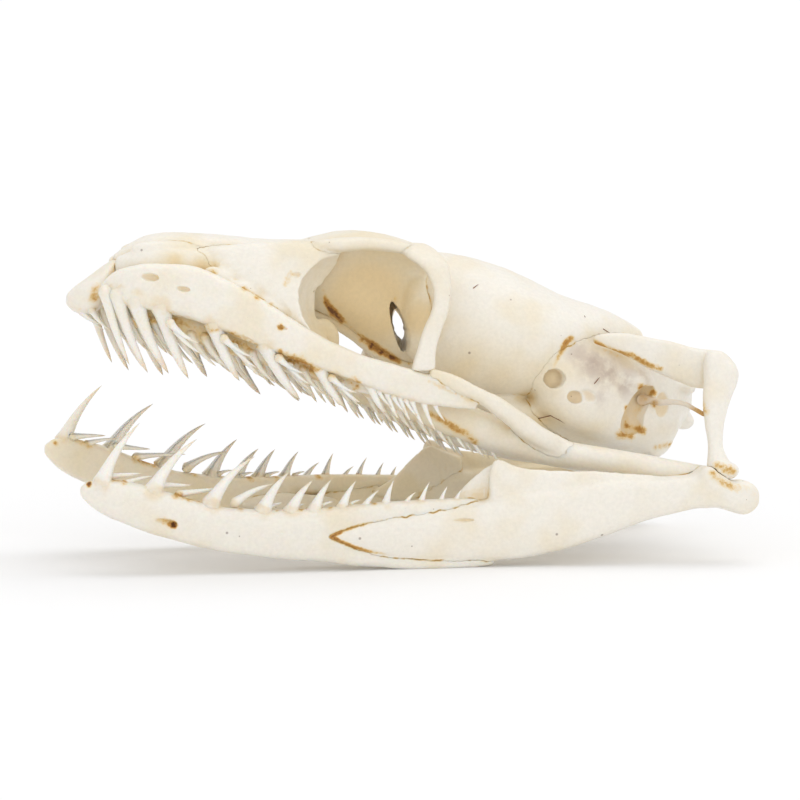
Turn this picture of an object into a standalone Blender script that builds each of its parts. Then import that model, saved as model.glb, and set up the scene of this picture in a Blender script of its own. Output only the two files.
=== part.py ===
"""Prepared python skull with the jaws open: one faceted solid for each bone.

Design units are millimetres of a 130 mm skull. Snout towards -X, the animal's
left side towards -Y, up is +Z. Left bones are built and mirrored to the right.
Rows read (station, centre, half width, low, high, lean): station is the place
along the bone, low and high are its two edges seen from the side.
"""
import math

import bmesh
import bpy
from mathutils import Matrix, Vector

OVERALL_LENGTH = 0.130
NOMINAL_LENGTH = 130.0
UNIT = OVERALL_LENGTH / NOMINAL_LENGTH
GAP = 0.32
SHELL_LIMIT = 1.6
WELD = 0.004

SKULL_ROLL = math.radians(-4.0)
ROLL_PIVOT = Vector((0.0, 0.0, 30.0))
RIGHT_JAW_PITCH = math.radians(3.4)
RIGHT_JAW_YAW = math.radians(-2.0)
RIGHT_JAW_LEAN = math.radians(-7.0)
RIGHT_JAW_PIVOT = Vector((10.0, 21.0, 0.0))
RIGHT_JAW_SHIFT = Vector((-2.6, -3.0, 0.0))
REST_DEPTH = 0.6

TOOTH_SIDES = 4
SMALL_TOOTH_SIDES = 3
TOOTH_SINK = 0.9
TOOTH_RAKE_AT_BASE = 0.55
TOOTH_KNEE = 0.52
TOOTH_KNEE_WIDTH = 0.72
FORAMEN_SIDES = 9
DOME_SIDES = 9
DOME_RINGS = 5
FLATNESS = math.radians(3.0)
STRAIGHT_TOOTH_RADIUS = 0.62

OVAL = [(0.0, 1.0), (-0.75, 0.72), (-1.0, 0.0), (-0.75, -0.72),
        (0.0, -1.0), (0.75, -0.72), (1.0, 0.0), (0.75, 0.72)]
SPLINT = [(0.0, 1.0), (-0.95, 0.45), (-0.95, -0.45), (0.0, -1.0), (0.95, -0.45), (0.95, 0.45)]
BLADE = [(0.0, 1.0), (-0.8, 0.8), (-1.0, 0.0), (-0.8, -0.8),
         (0.0, -1.0), (0.8, -0.8), (1.0, 0.0), (0.8, 0.8)]
EGG = [(0.0, 1.0), (-0.4, 0.87), (-0.8, 0.5), (-1.0, -0.02), (-0.86, -0.6), (-0.45, -1.0),
       (0.45, -1.0), (0.86, -0.6), (1.0, -0.02), (0.8, 0.5), (0.4, 0.87)]
TEE = [(0.0, 1.0), (-0.55, 0.96), (-1.0, 0.76), (-0.72, 0.5), (-0.6, 0.1), (-0.5, -0.6),
       (-0.22, -1.0), (0.22, -1.0), (0.5, -0.6), (0.6, 0.1), (0.72, 0.5), (1.0, 0.76), (0.55, 0.96)]
ARCH = [(0.0, 1.0), (-0.5, 0.84), (-0.9, 0.35), (-1.0, -0.8), (-0.7, -0.1),
        (-0.15, 0.1), (-0.1, -1.0), (0.1, -1.0), (0.15, 0.1), (0.7, -0.1),
        (1.0, -0.8), (0.9, 0.35), (0.5, 0.84)]

PARIETAL = [(2.5, 0, 9.0, 35.5, 59.9, 0), (6, 0, 11.2, 32.6, 58.9, 0), (12, 0, 12.9, 31, 58.2, 0),
            (20, 0, 13.9, 30.5, 56.0, 0), (26, 0, 13.7, 31, 53.4, 0), (32, 0, 12.2, 34, 50.4, 0),
            (37, 0, 9.6, 36.5, 48.5, 0), (43, 0, 5.9, 38, 46.4, 0),
            (50, 0, 1.6, 38.5, 42.5, 0)]
BRAINCASE = [(25.0, 0, 10.4, 26.4, 39.0, 0), (28, 0, 13.2, 24.0, 41.6, 0), (33, 0, 13.7, 21.8, 42.4, 0),
             (39, 0, 12.6, 20.0, 42.2, 0), (44, 0, 11.2, 18.6, 41.6, 0), (49, 0, 9.6, 17.4, 40.4, 0),
             (52.6, 0, 8.2, 17.4, 38.4, 0), (55, 0, 6.8, 20.6, 35.6, 0), (57.2, 0, 5.4, 24.4, 34.2, 0),
             (59, 0, 4.2, 26.0, 33.2, 0)]
BRAIN_SPACE = [(0, 0, 5.0, 42.0, 55.5, 0), (8, 0, 6.3, 36.8, 55.2, 0), (20, 0, 6.3, 34.5, 52.2, 0),
               (27, 0, 4.6, 36.4, 47.0, 0)]
STEM_SPACE = [(22, 0, 5.6, 27.8, 37.2, 0), (32, 0, 6.3, 25.4, 39.2, 0), (44, 0, 5.4, 23.8, 37.2, 0),
              (52, 0, 3.0, 27.2, 32.4, 0), (64, 0, 2.6, 27.6, 32.0, 0)]
BASISPHENOID = [(-20, 0, 0.8, 47.8, 49.4, 0), (-10, 0, 1.1, 43.6, 46.0, 0), (0, 0, 1.9, 35.8, 39.2, 0),
                (8, 0, 4.0, 30.0, 35.0, 0), (15, 0, 7.2, 26.6, 32.4, 0), (22, 0, 8.8, 24.4, 31.0, 0),
                (30, 0, 8.2, 22.6, 28.0, 0), (37, 0, 6.0, 20.4, 25.0, 0), (42, 0, 3.4, 18.4, 22.0, 0)]
FRONTALS = [(-21, 0, 6.2, 50.0, 61.2, 0), (-17, 0, 8.5, 48.4, 62.1, 0), (-12, 0, 9.5, 45.8, 63.1, 0),
            (-8, 0, 9.6, 42.8, 63.3, 0), (-2, 0, 10.2, 38.8, 62.1, 0), (4, 0, 10.8, 36.4, 60.0, 0)]
NASALS = [(-56.4, 0, 1.2, 57.4, 59.2, 0), (-53, 0, 3.0, 58.2, 61.6, 0), (-49, 0, 4.6, 58.9, 63.2, 0),
          (-43, 0, 6.0, 58.8, 63.4, 0), (-36, 0, 6.6, 58.4, 63.0, 0),
          (-28, 0, 6.3, 58.2, 62.0, 0), (-18, 0, 3.6, 59.0, 61.6, 0)]
PREMAXILLA = [(-65.4, 0, 1.6, 49.8, 51.8, 0), (-63.6, 0, 3.6, 48.4, 53.6, 0), (-61, 0, 5.2, 48.2, 55.4, 0),
              (-58.6, 0, 5.0, 49.6, 57.0, 0), (-56, 0, 2.2, 53.6, 58.2, 0), (-53, 0, 1.2, 55.6, 58.6, 0)]
VOMER = [(-54, -1.9, 1.0, 50.0, 51.4, 0), (-50, -2.4, 1.7, 49.4, 52.0, 0), (-45, -2.7, 2.1, 48.6, 52.0, 0),
         (-40, -2.5, 1.8, 48.4, 51.4, 0), (-35, -2.0, 1.0, 48.8, 50.6, 0)]
SEPTOMAXILLA = [(-56.4, -3.2, 1.5, 54.6, 58.6, 0), (-53, -4.7, 2.5, 53.6, 60.0, 0),
                (-48, -5.4, 3.0, 52.8, 60.6, 0), (-43, -5.8, 3.0, 52.8, 60.0, 0),
                (-38, -6.0, 2.5, 53.2, 58.8, 0), (-34, -5.8, 1.3, 54.2, 57.2, 0)]
PREFRONTAL = [(-41, -6.9, 0.6, 58.2, 59.7, 0), (-37, -8.4, 1.3, 55.8, 60.6, 1.2),
              (-32, -10.2, 1.7, 52.2, 61.2, 2.2), (-27, -11.6, 2.2, 49.2, 61.4, 3.0),
              (-23, -12.4, 3.4, 44.0, 61.4, 3.0), (-20, -12.4, 4.2, 42.6, 61.3, 2.6),
              (-17, -11.2, 3.6, 46.0, 61.3, 2.0), (-14.5, -10.2, 2.0, 56.0, 61.2, 1.0)]
PREFRONTAL_FOOT = [(40.6, -12.8, 2.6, -20.6, -16.0, 0), (43, -12.2, 3.0, -21.2, -15.4, 0),
                   (47, -11.4, 3.2, -22.2, -16.2, 0), (51, -10.6, 3.2, -22.6, -17.2, 0)]
SUPRAORBITAL = [(-19.5, -12.2, 0.9, 59.8, 61.3, 0), (-15, -12.2, 2.4, 59.2, 61.8, 0),
                (-10, -12.3, 2.5, 59.2, 61.9, 0), (-5, -12.5, 2.5, 58.8, 61.4, 0),
                (-1, -12.9, 2.1, 58.2, 60.5, 0), (2.4, -13.4, 1.1, 57.4, 59.2, 0)]
POSTORBITAL = [(36.6, -20.3, 1.2, -2.8, 1.2, 0), (40, -20.2, 1.0, -1.9, 1.9, 0),
               (44, -20.0, 0.9, -0.6, 3.3, 0), (48, -19.4, 0.9, 1.5, 4.6, 0),
               (52, -18.4, 1.0, 1.9, 5.3, 0), (55.4, -16.8, 1.5, 0.4, 5.5, 0),
               (57.8, -14.6, 2.2, -2.0, 4.9, 0), (59.6, -12.4, 2.0, -2.6, 3.8, 0),
               (60.5, -11.4, 0.8, -1.6, 2.4, 0)]
MAXILLA = [(-60, -6.6, 1.0, 51.2, 53.8, 0), (-57.5, -8.0, 1.9, 50.0, 56.2, 0.3),
           (-54, -9.4, 2.3, 49.2, 57.3, 0.5), (-49, -10.8, 2.4, 48.2, 57.5, 0.7),
           (-42, -12.6, 2.4, 46.0, 56.1, 0.8), (-35, -14.4, 2.4, 43.0, 52.4, 0.6),
           (-28, -16.2, 2.4, 40.0, 47.9, 0.4), (-20.5, -17.8, 2.3, 37.0, 42.8, 0.2),
           (-13, -19, 2.2, 34.0, 38.9, 0), (-3, -19.7, 2.0, 30.4, 36.2, 0),
           (5, -19.5, 1.6, 29.0, 32.8, 0),
           (10, -19.2, 0.7, 29.4, 30.8, 0)]
PALATINE = [(-47, -6.2, 0.7, 47.8, 49.4, 0), (-42, -6.8, 1.5, 45.8, 48.8, 0),
            (-35, -7.4, 1.9, 43.0, 46.4, 0), (-28, -8.0, 1.9, 39.8, 43.4, 0),
            (-21, -8.6, 1.9, 36.6, 40.4, 0), (-15, -8.9, 1.6, 34.0, 38.0, 0),
            (-11.4, -9.1, 0.9, 33.2, 35.8, 0)]
PALATINE_ARM = [(-7.6, -27.5, 1.4, 41.0, 42.4, 0), (-11, -27.2, 1.1, 41.6, 43.0, 0),
                (-14.6, -27, 1.4, 42.2, 44.0, 0)]
PTERYGOID = [(-12, -8.8, 0.9, 33.0, 34.8, 0), (-6, -9.4, 1.7, 29.6, 32.6, 0),
             (1, -10.4, 2.3, 26.0, 29.2, 0), (8, -11.2, 2.6, 23.0, 26.6, 0),
             (15, -12, 3.0, 20.4, 24.4, 0), (22, -13, 3.4, 18.6, 22.8, 0),
             (28, -14.2, 3.6, 17.0, 21.6, 0), (34, -16.2, 3.4, 15.6, 20.6, 0),
             (40, -18.8, 3.0, 14.2, 19.4, 0), (46, -21.4, 2.5, 13.0, 18.2, 0),
             (52, -23.8, 1.9, 12.6, 17.0, 0), (56, -25.2, 0.9, 12.8, 16.2, 0)]
ECTOPTERYGOID = [(0.5, -20.6, 1.1, 34.4, 36.4, 0), (5, -20.6, 1.7, 32.0, 35.2, 0),
                 (10, -20.0, 2.1, 29.6, 32.8, 0), (15, -19, 2.2, 26.2, 30.4, 0),
                 (20, -17.8, 2.2, 22.4, 27.4, 0), (25, -16.8, 1.8, 20.0, 24.0, 0),
                 (29.5, -16.4, 0.9, 19.4, 21.6, 0)]
SUPRATEMPORAL = [(36, -11.8, 0.8, 40.4, 41.8, 0), (39, -12.4, 1.3, 39.2, 42.4, 0),
                 (43, -13.2, 1.7, 37.4, 42.2, 0), (47, -14.8, 2.0, 34.9, 41.3, 0),
                 (51, -16.8, 2.2, 32.9, 40.3, 0), (55, -18.8, 2.3, 31.2, 39.1, 0),
                 (58.5, -20.3, 1.8, 31.8, 38.4, 0), (60.2, -20.9, 0.9, 33.6, 37.4, 0)]
QUADRATE = [(38.6, -22.6, 1.0, 55.6, 58.4, 0), (36.6, -23.0, 1.8, 54.8, 60.6, 0),
            (33.6, -23.5, 2.0, 54.4, 61.7, 0), (29.3, -24.4, 1.6, 53.8, 59.6, 0),
            (25.3, -25.2, 1.4, 53.8, 58.0, 0), (21, -26.3, 1.3, 54.0, 57.2, 0),
            (18.4, -27.1, 1.8, 53.6, 57.6, 0), (16.2, -27.8, 2.4, 53.4, 58.6, 0),
            (14.2, -28.2, 1.9, 54.6, 58.6, 0)]
STAPES = [(-8.2, 46.8, 1.2, 27.8, 30.4, 0), (-9.6, 48.4, 0.8, 28.1, 29.7, 0),
          (-12, 49.3, 0.5, 28.1, 29.1, 0), (-15, 50.8, 0.45, 28.2, 29.2, 0),
          (-18, 52.4, 0.45, 27.9, 28.9, 0), (-20, 53.4, 0.45, 27.1, 28.1, 0),
          (-23, 54.1, 0.45, 26.1, 27.1, 0)]
DENTARY = [(-65.9, -13.8, 0.8, 15.0, 16.8, 0), (-63.6, -14.3, 1.8, 12.8, 18.2, 0),
           (-60, -15.2, 2.3, 10.6, 18.2, 0), (-53, -16.4, 2.6, 7.8, 16.8, 0),
           (-46, -17.4, 2.6, 5.6, 14.4, 0), (-38, -18.3, 2.7, 3.7, 12.5, 0),
           (-28, -19.3, 2.8, 2.5, 11.8, 0), (-18.5, -20.0, 2.7, 1.5, 12.1, 0)]
DENTARY_TOP = [(-22, -19.7, 2.5, 7.0, 11.9, 0), (-15, -20.2, 2.3, 8.4, 12.5, 0),
               (-8, -20.6, 2.1, 9.3, 12.9, 0), (0, -21, 1.9, 10.3, 13.1, 0),
               (6, -21.3, 1.5, 11.2, 13.2, 0), (9.6, -21.6, 0.8, 11.8, 13.1, 0)]
DENTARY_FOOT = [(-22, -19.8, 2.4, 1.9, 6.4, 0), (-15, -20.4, 2.1, 0.9, 4.4, 0),
                (-9, -20.8, 1.8, 0.2, 3.0, 0), (-2, -21.3, 1.6, -0.3, 2.2, 0),
                (6, -22, 1.4, -0.3, 1.9, 0), (12.5, -22.8, 0.8, 0.3, 1.8, 0)]
COMPOUND = [(-18.2, -20.6, 0.8, 6.0, 7.6, 0), (-14, -20.8, 1.9, 4.2, 8.6, 0),
            (-8, -21, 2.3, 2.4, 9.8, 0), (0, -21.3, 2.5, 1.5, 10.9, 0),
            (8, -21.9, 2.7, 1.2, 12.2, 0), (16, -23.0, 2.8, 1.2, 14.0, 0),
            (24, -24.2, 2.9, 2.6, 15.0, 0), (33, -25.6, 2.9, 5.2, 16.2, 0), (40, -26.6, 2.9, 7.8, 16.6, 0),
            (46, -27.4, 3.0, 9.5, 16.8, 0), (50.4, -28.0, 3.3, 10.5, 17.2, 0),
            (52.8, -28.4, 3.8, 10.6, 19.0, 0), (55, -28.7, 4.3, 10.7, 17.4, 0),
            (58, -29.1, 4.0, 9.8, 16.0, 0), (61.2, -29.6, 3.0, 9.2, 16.2, 0),
            (62.8, -30.0, 2.4, 10.0, 15.4, 0), (64.0, -30.2, 1.2, 11.2, 14.0, 0)]
COMPOUND_CREST = [(11.6, -22.3, 0.7, 10.0, 17.0, 0), (13, -22.5, 0.9, 10.0, 21.0, 0),
                  (19, -23.5, 1.0, 10.0, 19.4, 0), (33, -25.6, 1.3, 11.0, 18.3, 0),
                  (46, -27.4, 1.2, 13.4, 16.9, 0)]
CORONOID = [(1, -18.4, 0.4, 8.8, 10.2, 0), (5, -18.7, 0.7, 8.2, 12.6, 0), (9, -19.3, 0.8, 8.0, 16.8, 0),
            (12.5, -20.3, 0.8, 8.8, 19.4, 0), (16, -21.3, 0.7, 10.2, 18.6, 0),
            (20, -22.3, 0.4, 13.6, 17.4, 0)]
SPLENIAL = [(-26, -16.3, 0.4, 6.0, 7.4, 0), (-20, -16.6, 0.8, 4.6, 8.6, 0), (-14, -17.2, 0.9, 3.6, 9.0, 0),
            (-8, -17.7, 0.8, 3.8, 8.4, 0), (-3, -18.2, 0.4, 4.8, 7.0, 0)]

# cutters on the left side: drills are centre, two radii, depth and turn; domes are centre and radii
NERVE_HOLE = ((27.7, -11.0, 33.8), 1.85, 1.85, 12.0, 0.0)
EAR_SLOT = ((33.9, -12.8, 29.9), 3.4, 1.4, 6.0, math.radians(12))
OPTIC_SLIT = ((-1.2, -6.0, 44.6), 1.5, 4.6, 12.0, math.radians(-12))
EAR_RECESS = ((46.4, -10.6, 29.2), (3.9, 3.2, 4.9))
ORBIT = ((-10.3, -15.2, 49.5), (13.8, 9.2, 10.4))
LIP_FORAMINA = (((-50.2, -13.6, 54.6), (1.5, 1.3, 0.6)), ((-45.0, -13.6, 53.6), (1.5, 1.3, 0.6)))
MENTAL_FORAMEN = ((-48.2, -20.0, 9.4), (0.8, 1.0, 0.6))
JAW_FORAMEN = ((5.6, -24.4, 9.3), (2.6, 1.2, 0.7))
MIDLINE_REACH = 100.0

# teeth: base x, y, z, then how far the tip lies back, up and outwards, and the base radius
PREMAXILLARY_TEETH = [(-62.6, -1.3, 48.9, 2.6, -4.0, 0.1, 0.55), (-61.2, -3.4, 48.9, 2.6, -4.4, -0.3, 0.6)]
MAXILLARY_TEETH = [
    (-59.4, -8.2, 52.4, 4.2, -14.0, -0.4, 1.0), (-57.4, -8.9, 52.0, 5.6, -15.2, -0.4, 1.2),
    (-54.0, -10.0, 50.8, 6.0, -14.2, -0.5, 1.4), (-49.4, -11.4, 49.4, 4.9, -13.8, -0.5, 1.45),
    (-39.8, -14.0, 46.0, 4.6, -11.0, -0.4, 1.4), (-30.4, -16.2, 42.0, 6.4, -10.8, -0.4, 1.35),
    (-20.6, -17.9, 38.0, 4.8, -8.4, -0.4, 1.2), (-11.0, -19.2, 34.2, 2.9, -6.0, -0.3, 0.9),
    (-7.9, -19.4, 32.6, 2.4, -5.6, -0.3, 0.65), (-5.4, -19.5, 31.8, 2.2, -5.2, -0.2, 0.6),
    (-3.0, -19.6, 30.8, 2.4, -5.2, -0.2, 0.55), (-0.6, -19.6, 30.2, 2.3, -5.6, -0.2, 0.5)]
PALATINE_TEETH = [
    (-41.6, -6.9, 46.6, 3.4, -7.6, -0.2, 0.75), (-36.8, -7.3, 44.6, 3.4, -7.6, -0.2, 0.75),
    (-31.8, -7.8, 42.4, 3.4, -7.4, -0.2, 0.75), (-27.0, -8.2, 40.4, 3.2, -7.2, -0.2, 0.7),
    (-22.2, -8.6, 38.0, 3.2, -7.0, -0.2, 0.7), (-17.4, -8.9, 36.0, 3.0, -6.4, -0.2, 0.65)]
PTERYGOID_TEETH = [
    (-8.6, -9.2, 31.8, 2.8, -5.6, -0.2, 0.6), (-5.0, -9.6, 30.2, 2.6, -5.2, -0.2, 0.6),
    (-1.4, -10.1, 28.4, 2.6, -5.0, -0.2, 0.55), (2.2, -10.6, 26.8, 2.4, -4.8, -0.2, 0.55),
    (5.8, -11.0, 25.0, 2.4, -4.4, -0.2, 0.5), (9.4, -11.4, 23.6, 2.2, -4.0, -0.2, 0.5),
    (12.6, -11.8, 22.2, 2.0, -3.6, -0.2, 0.45)]
DENTARY_TEETH = [
    (-62.0, -15.0, 17.6, 7.3, 11.2, -0.4, 1.25), (-52.6, -16.7, 15.8, 8.5, 9.8, -0.4, 1.3),
    (-41.8, -18.0, 13.2, 8.5, 8.9, -0.4, 1.2), (-31.9, -19.0, 11.6, 5.2, 7.6, -0.4, 1.3),
    (-26.6, -19.5, 11.4, 4.4, 6.1, -0.3, 1.2), (-22.2, -19.9, 11.4, 3.4, 6.1, -0.3, 1.15),
    (-16.8, -20.2, 11.8, 2.8, 5.4, -0.3, 0.95), (-12.8, -20.4, 11.4, 3.2, 3.8, -0.3, 0.75),
    (-8.4, -20.7, 12.2, 1.6, 4.9, -0.3, 0.8), (-4.6, -20.9, 12.2, 2.1, 2.4, -0.2, 0.5),
    (-1.5, -21.1, 12.5, 1.7, 4.0, -0.2, 0.5), (2.4, -21.2, 12.6, 1.3, 3.0, -0.2, 0.42),
    (5.4, -21.3, 12.7, 1.0, 2.2, -0.2, 0.38)]

BONE_COLOUR = (0.83, 0.79, 0.69, 1.0)
TOOTH_BONE_COLOUR = (0.86, 0.83, 0.76, 1.0)
EAR_BONE_COLOUR = (0.74, 0.62, 0.42, 1.0)

JAW_BONES = ("dentary", "compound", "coronoid", "splenial")
TOOTHED = ("maxilla", "premaxilla", "dentary", "palatine", "pterygoid")

scene = bpy.context.scene
for stale in list(bpy.data.objects):
    bpy.data.objects.remove(stale, do_unlink=True)
skull = bpy.data.collections.new("python_skull")
scene.collection.children.link(skull)
bones = {}


def add_object(name, bm):
    """Turn a bmesh into an object of the skull with outward normals."""
    bmesh.ops.recalc_face_normals(bm, faces=bm.faces)
    mesh = bpy.data.meshes.new(name)
    bm.to_mesh(mesh)
    bm.free()
    thing = bpy.data.objects.new(name, mesh)
    skull.objects.link(thing)
    return thing


def station_point(axis, row, corner):
    """Place one section corner of a row; axis is the direction the bone runs in."""
    station, centre, half, low, high, lean = row
    side, rise = corner
    across = centre + side * half + rise * lean
    along_edge = (low + high) / 2 + rise * (high - low) / 2
    if axis == "X":
        return Vector((station, across, along_edge))
    if axis == "Y":
        return Vector((across, station, along_edge))
    return Vector((along_edge, across, station))


def loft(name, rows, section, axis="X"):
    """Skin a closed solid through the rows."""
    bm = bmesh.new()
    rings = [[bm.verts.new(station_point(axis, row, corner)) for corner in section] for row in rows]
    count = len(section)
    for ring, following in zip(rings, rings[1:]):
        for i in range(count):
            j = (i + 1) % count
            bm.faces.new((ring[i], ring[j], following[j], following[i]))
    bm.faces.new(rings[0])
    bm.faces.new(list(reversed(rings[-1])))
    return add_object(name, bm)


def on_side(centre, side):
    """The same point on the left (1) or the right (-1)."""
    x, y, z = centre
    return (x, y * side, z)


def dome(centre, radii):
    """An ellipsoid cutter."""
    bm = bmesh.new()
    bmesh.ops.create_uvsphere(bm, u_segments=DOME_SIDES, v_segments=DOME_RINGS, radius=1.0)
    place = Matrix.Translation(Vector(centre)) @ Matrix.Diagonal(Vector((*radii, 1.0)))
    bmesh.ops.transform(bm, matrix=place, verts=bm.verts)
    return add_object("cutter", bm)


def drill(centre, radius_x, radius_z, depth, turn):
    """An oval drill along Y, turned in its own plane."""
    bm = bmesh.new()
    bmesh.ops.create_cone(bm, cap_ends=True, segments=FORAMEN_SIDES, radius1=1.0, radius2=1.0, depth=depth)
    place = (Matrix.Translation(Vector(centre)) @ Matrix.Rotation(turn, 4, "Y")
             @ Matrix.Diagonal(Vector((radius_x, 1.0, radius_z, 1.0))) @ Matrix.Rotation(math.pi / 2, 4, "X"))
    bmesh.ops.transform(bm, matrix=place, verts=bm.verts)
    return add_object("cutter", bm)


def block(low, high):
    """A box cutter between two corners."""
    bm = bmesh.new()
    bmesh.ops.create_cube(bm, size=1.0)
    low = Vector(low)
    high = Vector(high)
    size = high - low
    place = Matrix.Translation((low + high) / 2) @ Matrix.Diagonal(Vector((*size, 1.0)))
    bmesh.ops.transform(bm, matrix=place, verts=bm.verts)
    return add_object("cutter", bm)


def combine(target, tool, operation="DIFFERENCE"):
    """Run one exact Boolean, weld its slivers, keep the largest body and drop the tool."""
    step = target.modifiers.new("combine", "BOOLEAN")
    step.operation = operation
    step.solver = "EXACT"
    step.object = tool
    graph = bpy.context.evaluated_depsgraph_get()
    result = bpy.data.meshes.new_from_object(target.evaluated_get(graph))
    target.modifiers.clear()
    target.data = result
    bpy.data.objects.remove(tool, do_unlink=True)
    bm = bmesh.new()
    bm.from_mesh(target.data)
    bmesh.ops.remove_doubles(bm, verts=bm.verts, dist=WELD)
    bmesh.ops.dissolve_degenerate(bm, edges=bm.edges, dist=WELD)
    keep_largest(bm)
    bm.to_mesh(target.data)
    bm.free()


def keep_largest(bm):
    """Drop every loose body but the one with the most volume."""
    unseen = set(bm.verts)
    bodies = []
    while unseen:
        stack = [unseen.pop()]
        body = set(stack)
        while stack:
            for edge in stack.pop().link_edges:
                for vert in edge.verts:
                    if vert in unseen:
                        unseen.discard(vert)
                        body.add(vert)
                        stack.append(vert)
        bodies.append(body)

    def volume(body):
        total = 0.0
        for face in {face for vert in body for face in vert.link_faces}:
            corners = [vert.co for vert in face.verts]
            for second, third in zip(corners[1:], corners[2:]):
                total += corners[0].dot(second.cross(third))
        return abs(total)

    bodies.sort(key=volume, reverse=True)
    spare = [vert for body in bodies[1:] for vert in body]
    bmesh.ops.delete(bm, geom=spare, context="VERTS")


def grown(thing):
    """A copy of a bone pushed outwards by the gap."""
    bm = bmesh.new()
    bm.from_mesh(thing.data)
    bmesh.ops.triangulate(bm, faces=bm.faces)
    bm.normal_update()
    moves = [(vert, vert.normal * GAP * min(vert.calc_shell_factor(), SHELL_LIMIT)) for vert in bm.verts]
    for vert, move in moves:
        vert.co += move
    return add_object("cutter", bm)


def trim(name, neighbours):
    """Cut a bone back so that it clears each neighbour by the gap."""
    for neighbour in neighbours:
        combine(bones[name], grown(bones[neighbour]))
    simplify(bones[name])


def simplify(thing):
    """Merge the near-flat slivers that Booleans leave."""
    bm = bmesh.new()
    bm.from_mesh(thing.data)
    bmesh.ops.dissolve_limit(bm, angle_limit=FLATNESS, verts=bm.verts, edges=bm.edges)
    bmesh.ops.triangulate(bm, faces=bm.faces)
    bm.to_mesh(thing.data)
    bm.free()


def add_teeth(thing, teeth, mirrored=False):
    """Grow a row of backward-curved teeth from a bone."""
    bm = bmesh.new()
    sides = (1, -1) if mirrored else (1,)
    for x, y, z, back, rise, out, radius in teeth:
        for side in sides:
            root = Vector((x, y * side, z))
            reach = Vector((back, out * side, rise))
            heading = reach.normalized()
            start = Vector((back * TOOTH_RAKE_AT_BASE, out * side, rise)).normalized()
            lateral = start.cross(Vector((0.0, 1.0, 0.0))).normalized()
            crosswise = start.cross(lateral)
            knee = root + start * reach.length * TOOTH_KNEE
            levels = [(root - start * TOOTH_SINK, radius), (knee, radius * TOOTH_KNEE_WIDTH)]
            sides_here = TOOTH_SIDES
            if radius < STRAIGHT_TOOTH_RADIUS:
                sides_here = SMALL_TOOTH_SIDES
                levels.pop()
            rings = []
            for centre, size in levels:
                turn = [2 * math.pi * i / sides_here for i in range(sides_here)]
                rings.append([bm.verts.new(centre + (lateral * math.cos(a) + crosswise * math.sin(a)) * size)
                              for a in turn])
            tip = bm.verts.new(root + heading * reach.length)
            bm.faces.new(rings[0])
            for i in range(sides_here):
                j = (i + 1) % sides_here
                for ring, following in zip(rings, rings[1:]):
                    bm.faces.new((ring[i], ring[j], following[j], following[i]))
                bm.faces.new((rings[-1][i], rings[-1][j], tip))
    combine(thing, add_object("teeth", bm), "UNION")


def moved_copy(name, source, matrix):
    """Copy a bone through a matrix; a mirror is turned right side out again."""
    bm = bmesh.new()
    bm.from_mesh(source.data)
    bmesh.ops.transform(bm, matrix=matrix, verts=bm.verts)
    return add_object(name, bm)


def paint(thing, slot, colour):
    """Give a bone its material."""
    material = bpy.data.materials.get(slot) or bpy.data.materials.new(slot)
    material.use_nodes = True
    shader = material.node_tree.nodes["Principled BSDF"]
    shader.inputs["Base Color"].default_value = colour
    shader.inputs["Roughness"].default_value = 0.5
    thing.data.materials.clear()
    thing.data.materials.append(material)


# braincase and roof, on the midline
bones["braincase_rear"] = loft("braincase_rear", BRAINCASE, BLADE)
for side in (1, -1):
    for cut in (NERVE_HOLE, EAR_SLOT):
        combine(bones["braincase_rear"], drill(on_side(cut[0], side), *cut[1:]))
    combine(bones["braincase_rear"], dome(on_side(EAR_RECESS[0], side), EAR_RECESS[1]))
bones["parietal"] = loft("parietal", PARIETAL, EGG)
trim("parietal", ["braincase_rear"])
bones["basisphenoid"] = loft("basisphenoid", BASISPHENOID, OVAL)
trim("basisphenoid", ["braincase_rear", "parietal"])
bones["frontals"] = loft("frontals", FRONTALS, TEE)
trim("frontals", ["parietal", "basisphenoid"])
bones["nasals"] = loft("nasals", NASALS, ARCH)
trim("nasals", ["frontals"])
bones["premaxilla"] = loft("premaxilla", PREMAXILLA, OVAL)
trim("premaxilla", ["nasals"])
for side in (1, -1):
    combine(bones["frontals"], dome(on_side(ORBIT[0], side), ORBIT[1]))
    combine(bones["frontals"], drill(on_side(OPTIC_SLIT[0], side), *OPTIC_SLIT[1:]))
for pair, single in (("frontals", "frontal_left"), ("nasals", "nasal_left")):
    half = bones.pop(pair)
    combine(half, block((-MIDLINE_REACH, -GAP / 2, -MIDLINE_REACH), (MIDLINE_REACH,) * 3))
    half.name = single
    bones[single] = half

# left side of the upper skull
LEFT_BONES = [
    ("septomaxilla", SEPTOMAXILLA, OVAL, "X", ["premaxilla", "nasal_left"]),
    ("prefrontal", PREFRONTAL, BLADE, "X", ["frontal_left", "nasal_left", "septomaxilla_left"]),
    ("supraorbital", SUPRAORBITAL, OVAL, "X", ["frontal_left", "prefrontal_left"]),
    ("postorbital", POSTORBITAL, BLADE, "Z",
     ["parietal", "frontal_left", "supraorbital_left"]),
    ("maxilla", MAXILLA, BLADE, "X", ["premaxilla", "septomaxilla_left", "prefrontal_left", "postorbital_left"]),
    ("vomer", VOMER, SPLINT, "X", ["premaxilla", "septomaxilla_left"]),
    ("palatine", PALATINE, OVAL, "X", ["vomer_left", "maxilla_left", "prefrontal_left"]),
    ("ectopterygoid", ECTOPTERYGOID, OVAL, "X", ["postorbital_left", "maxilla_left"]),
    ("pterygoid", PTERYGOID, OVAL, "X", ["palatine_left", "ectopterygoid_left", "basisphenoid"]),
    ("supratemporal", SUPRATEMPORAL, BLADE, "X", ["braincase_rear", "parietal"]),
    ("quadrate", QUADRATE, OVAL, "Z", ["supratemporal_left"]),
    ("stapes", STAPES, SPLINT, "Y", ["braincase_rear", "quadrate_left"]),
]
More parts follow.
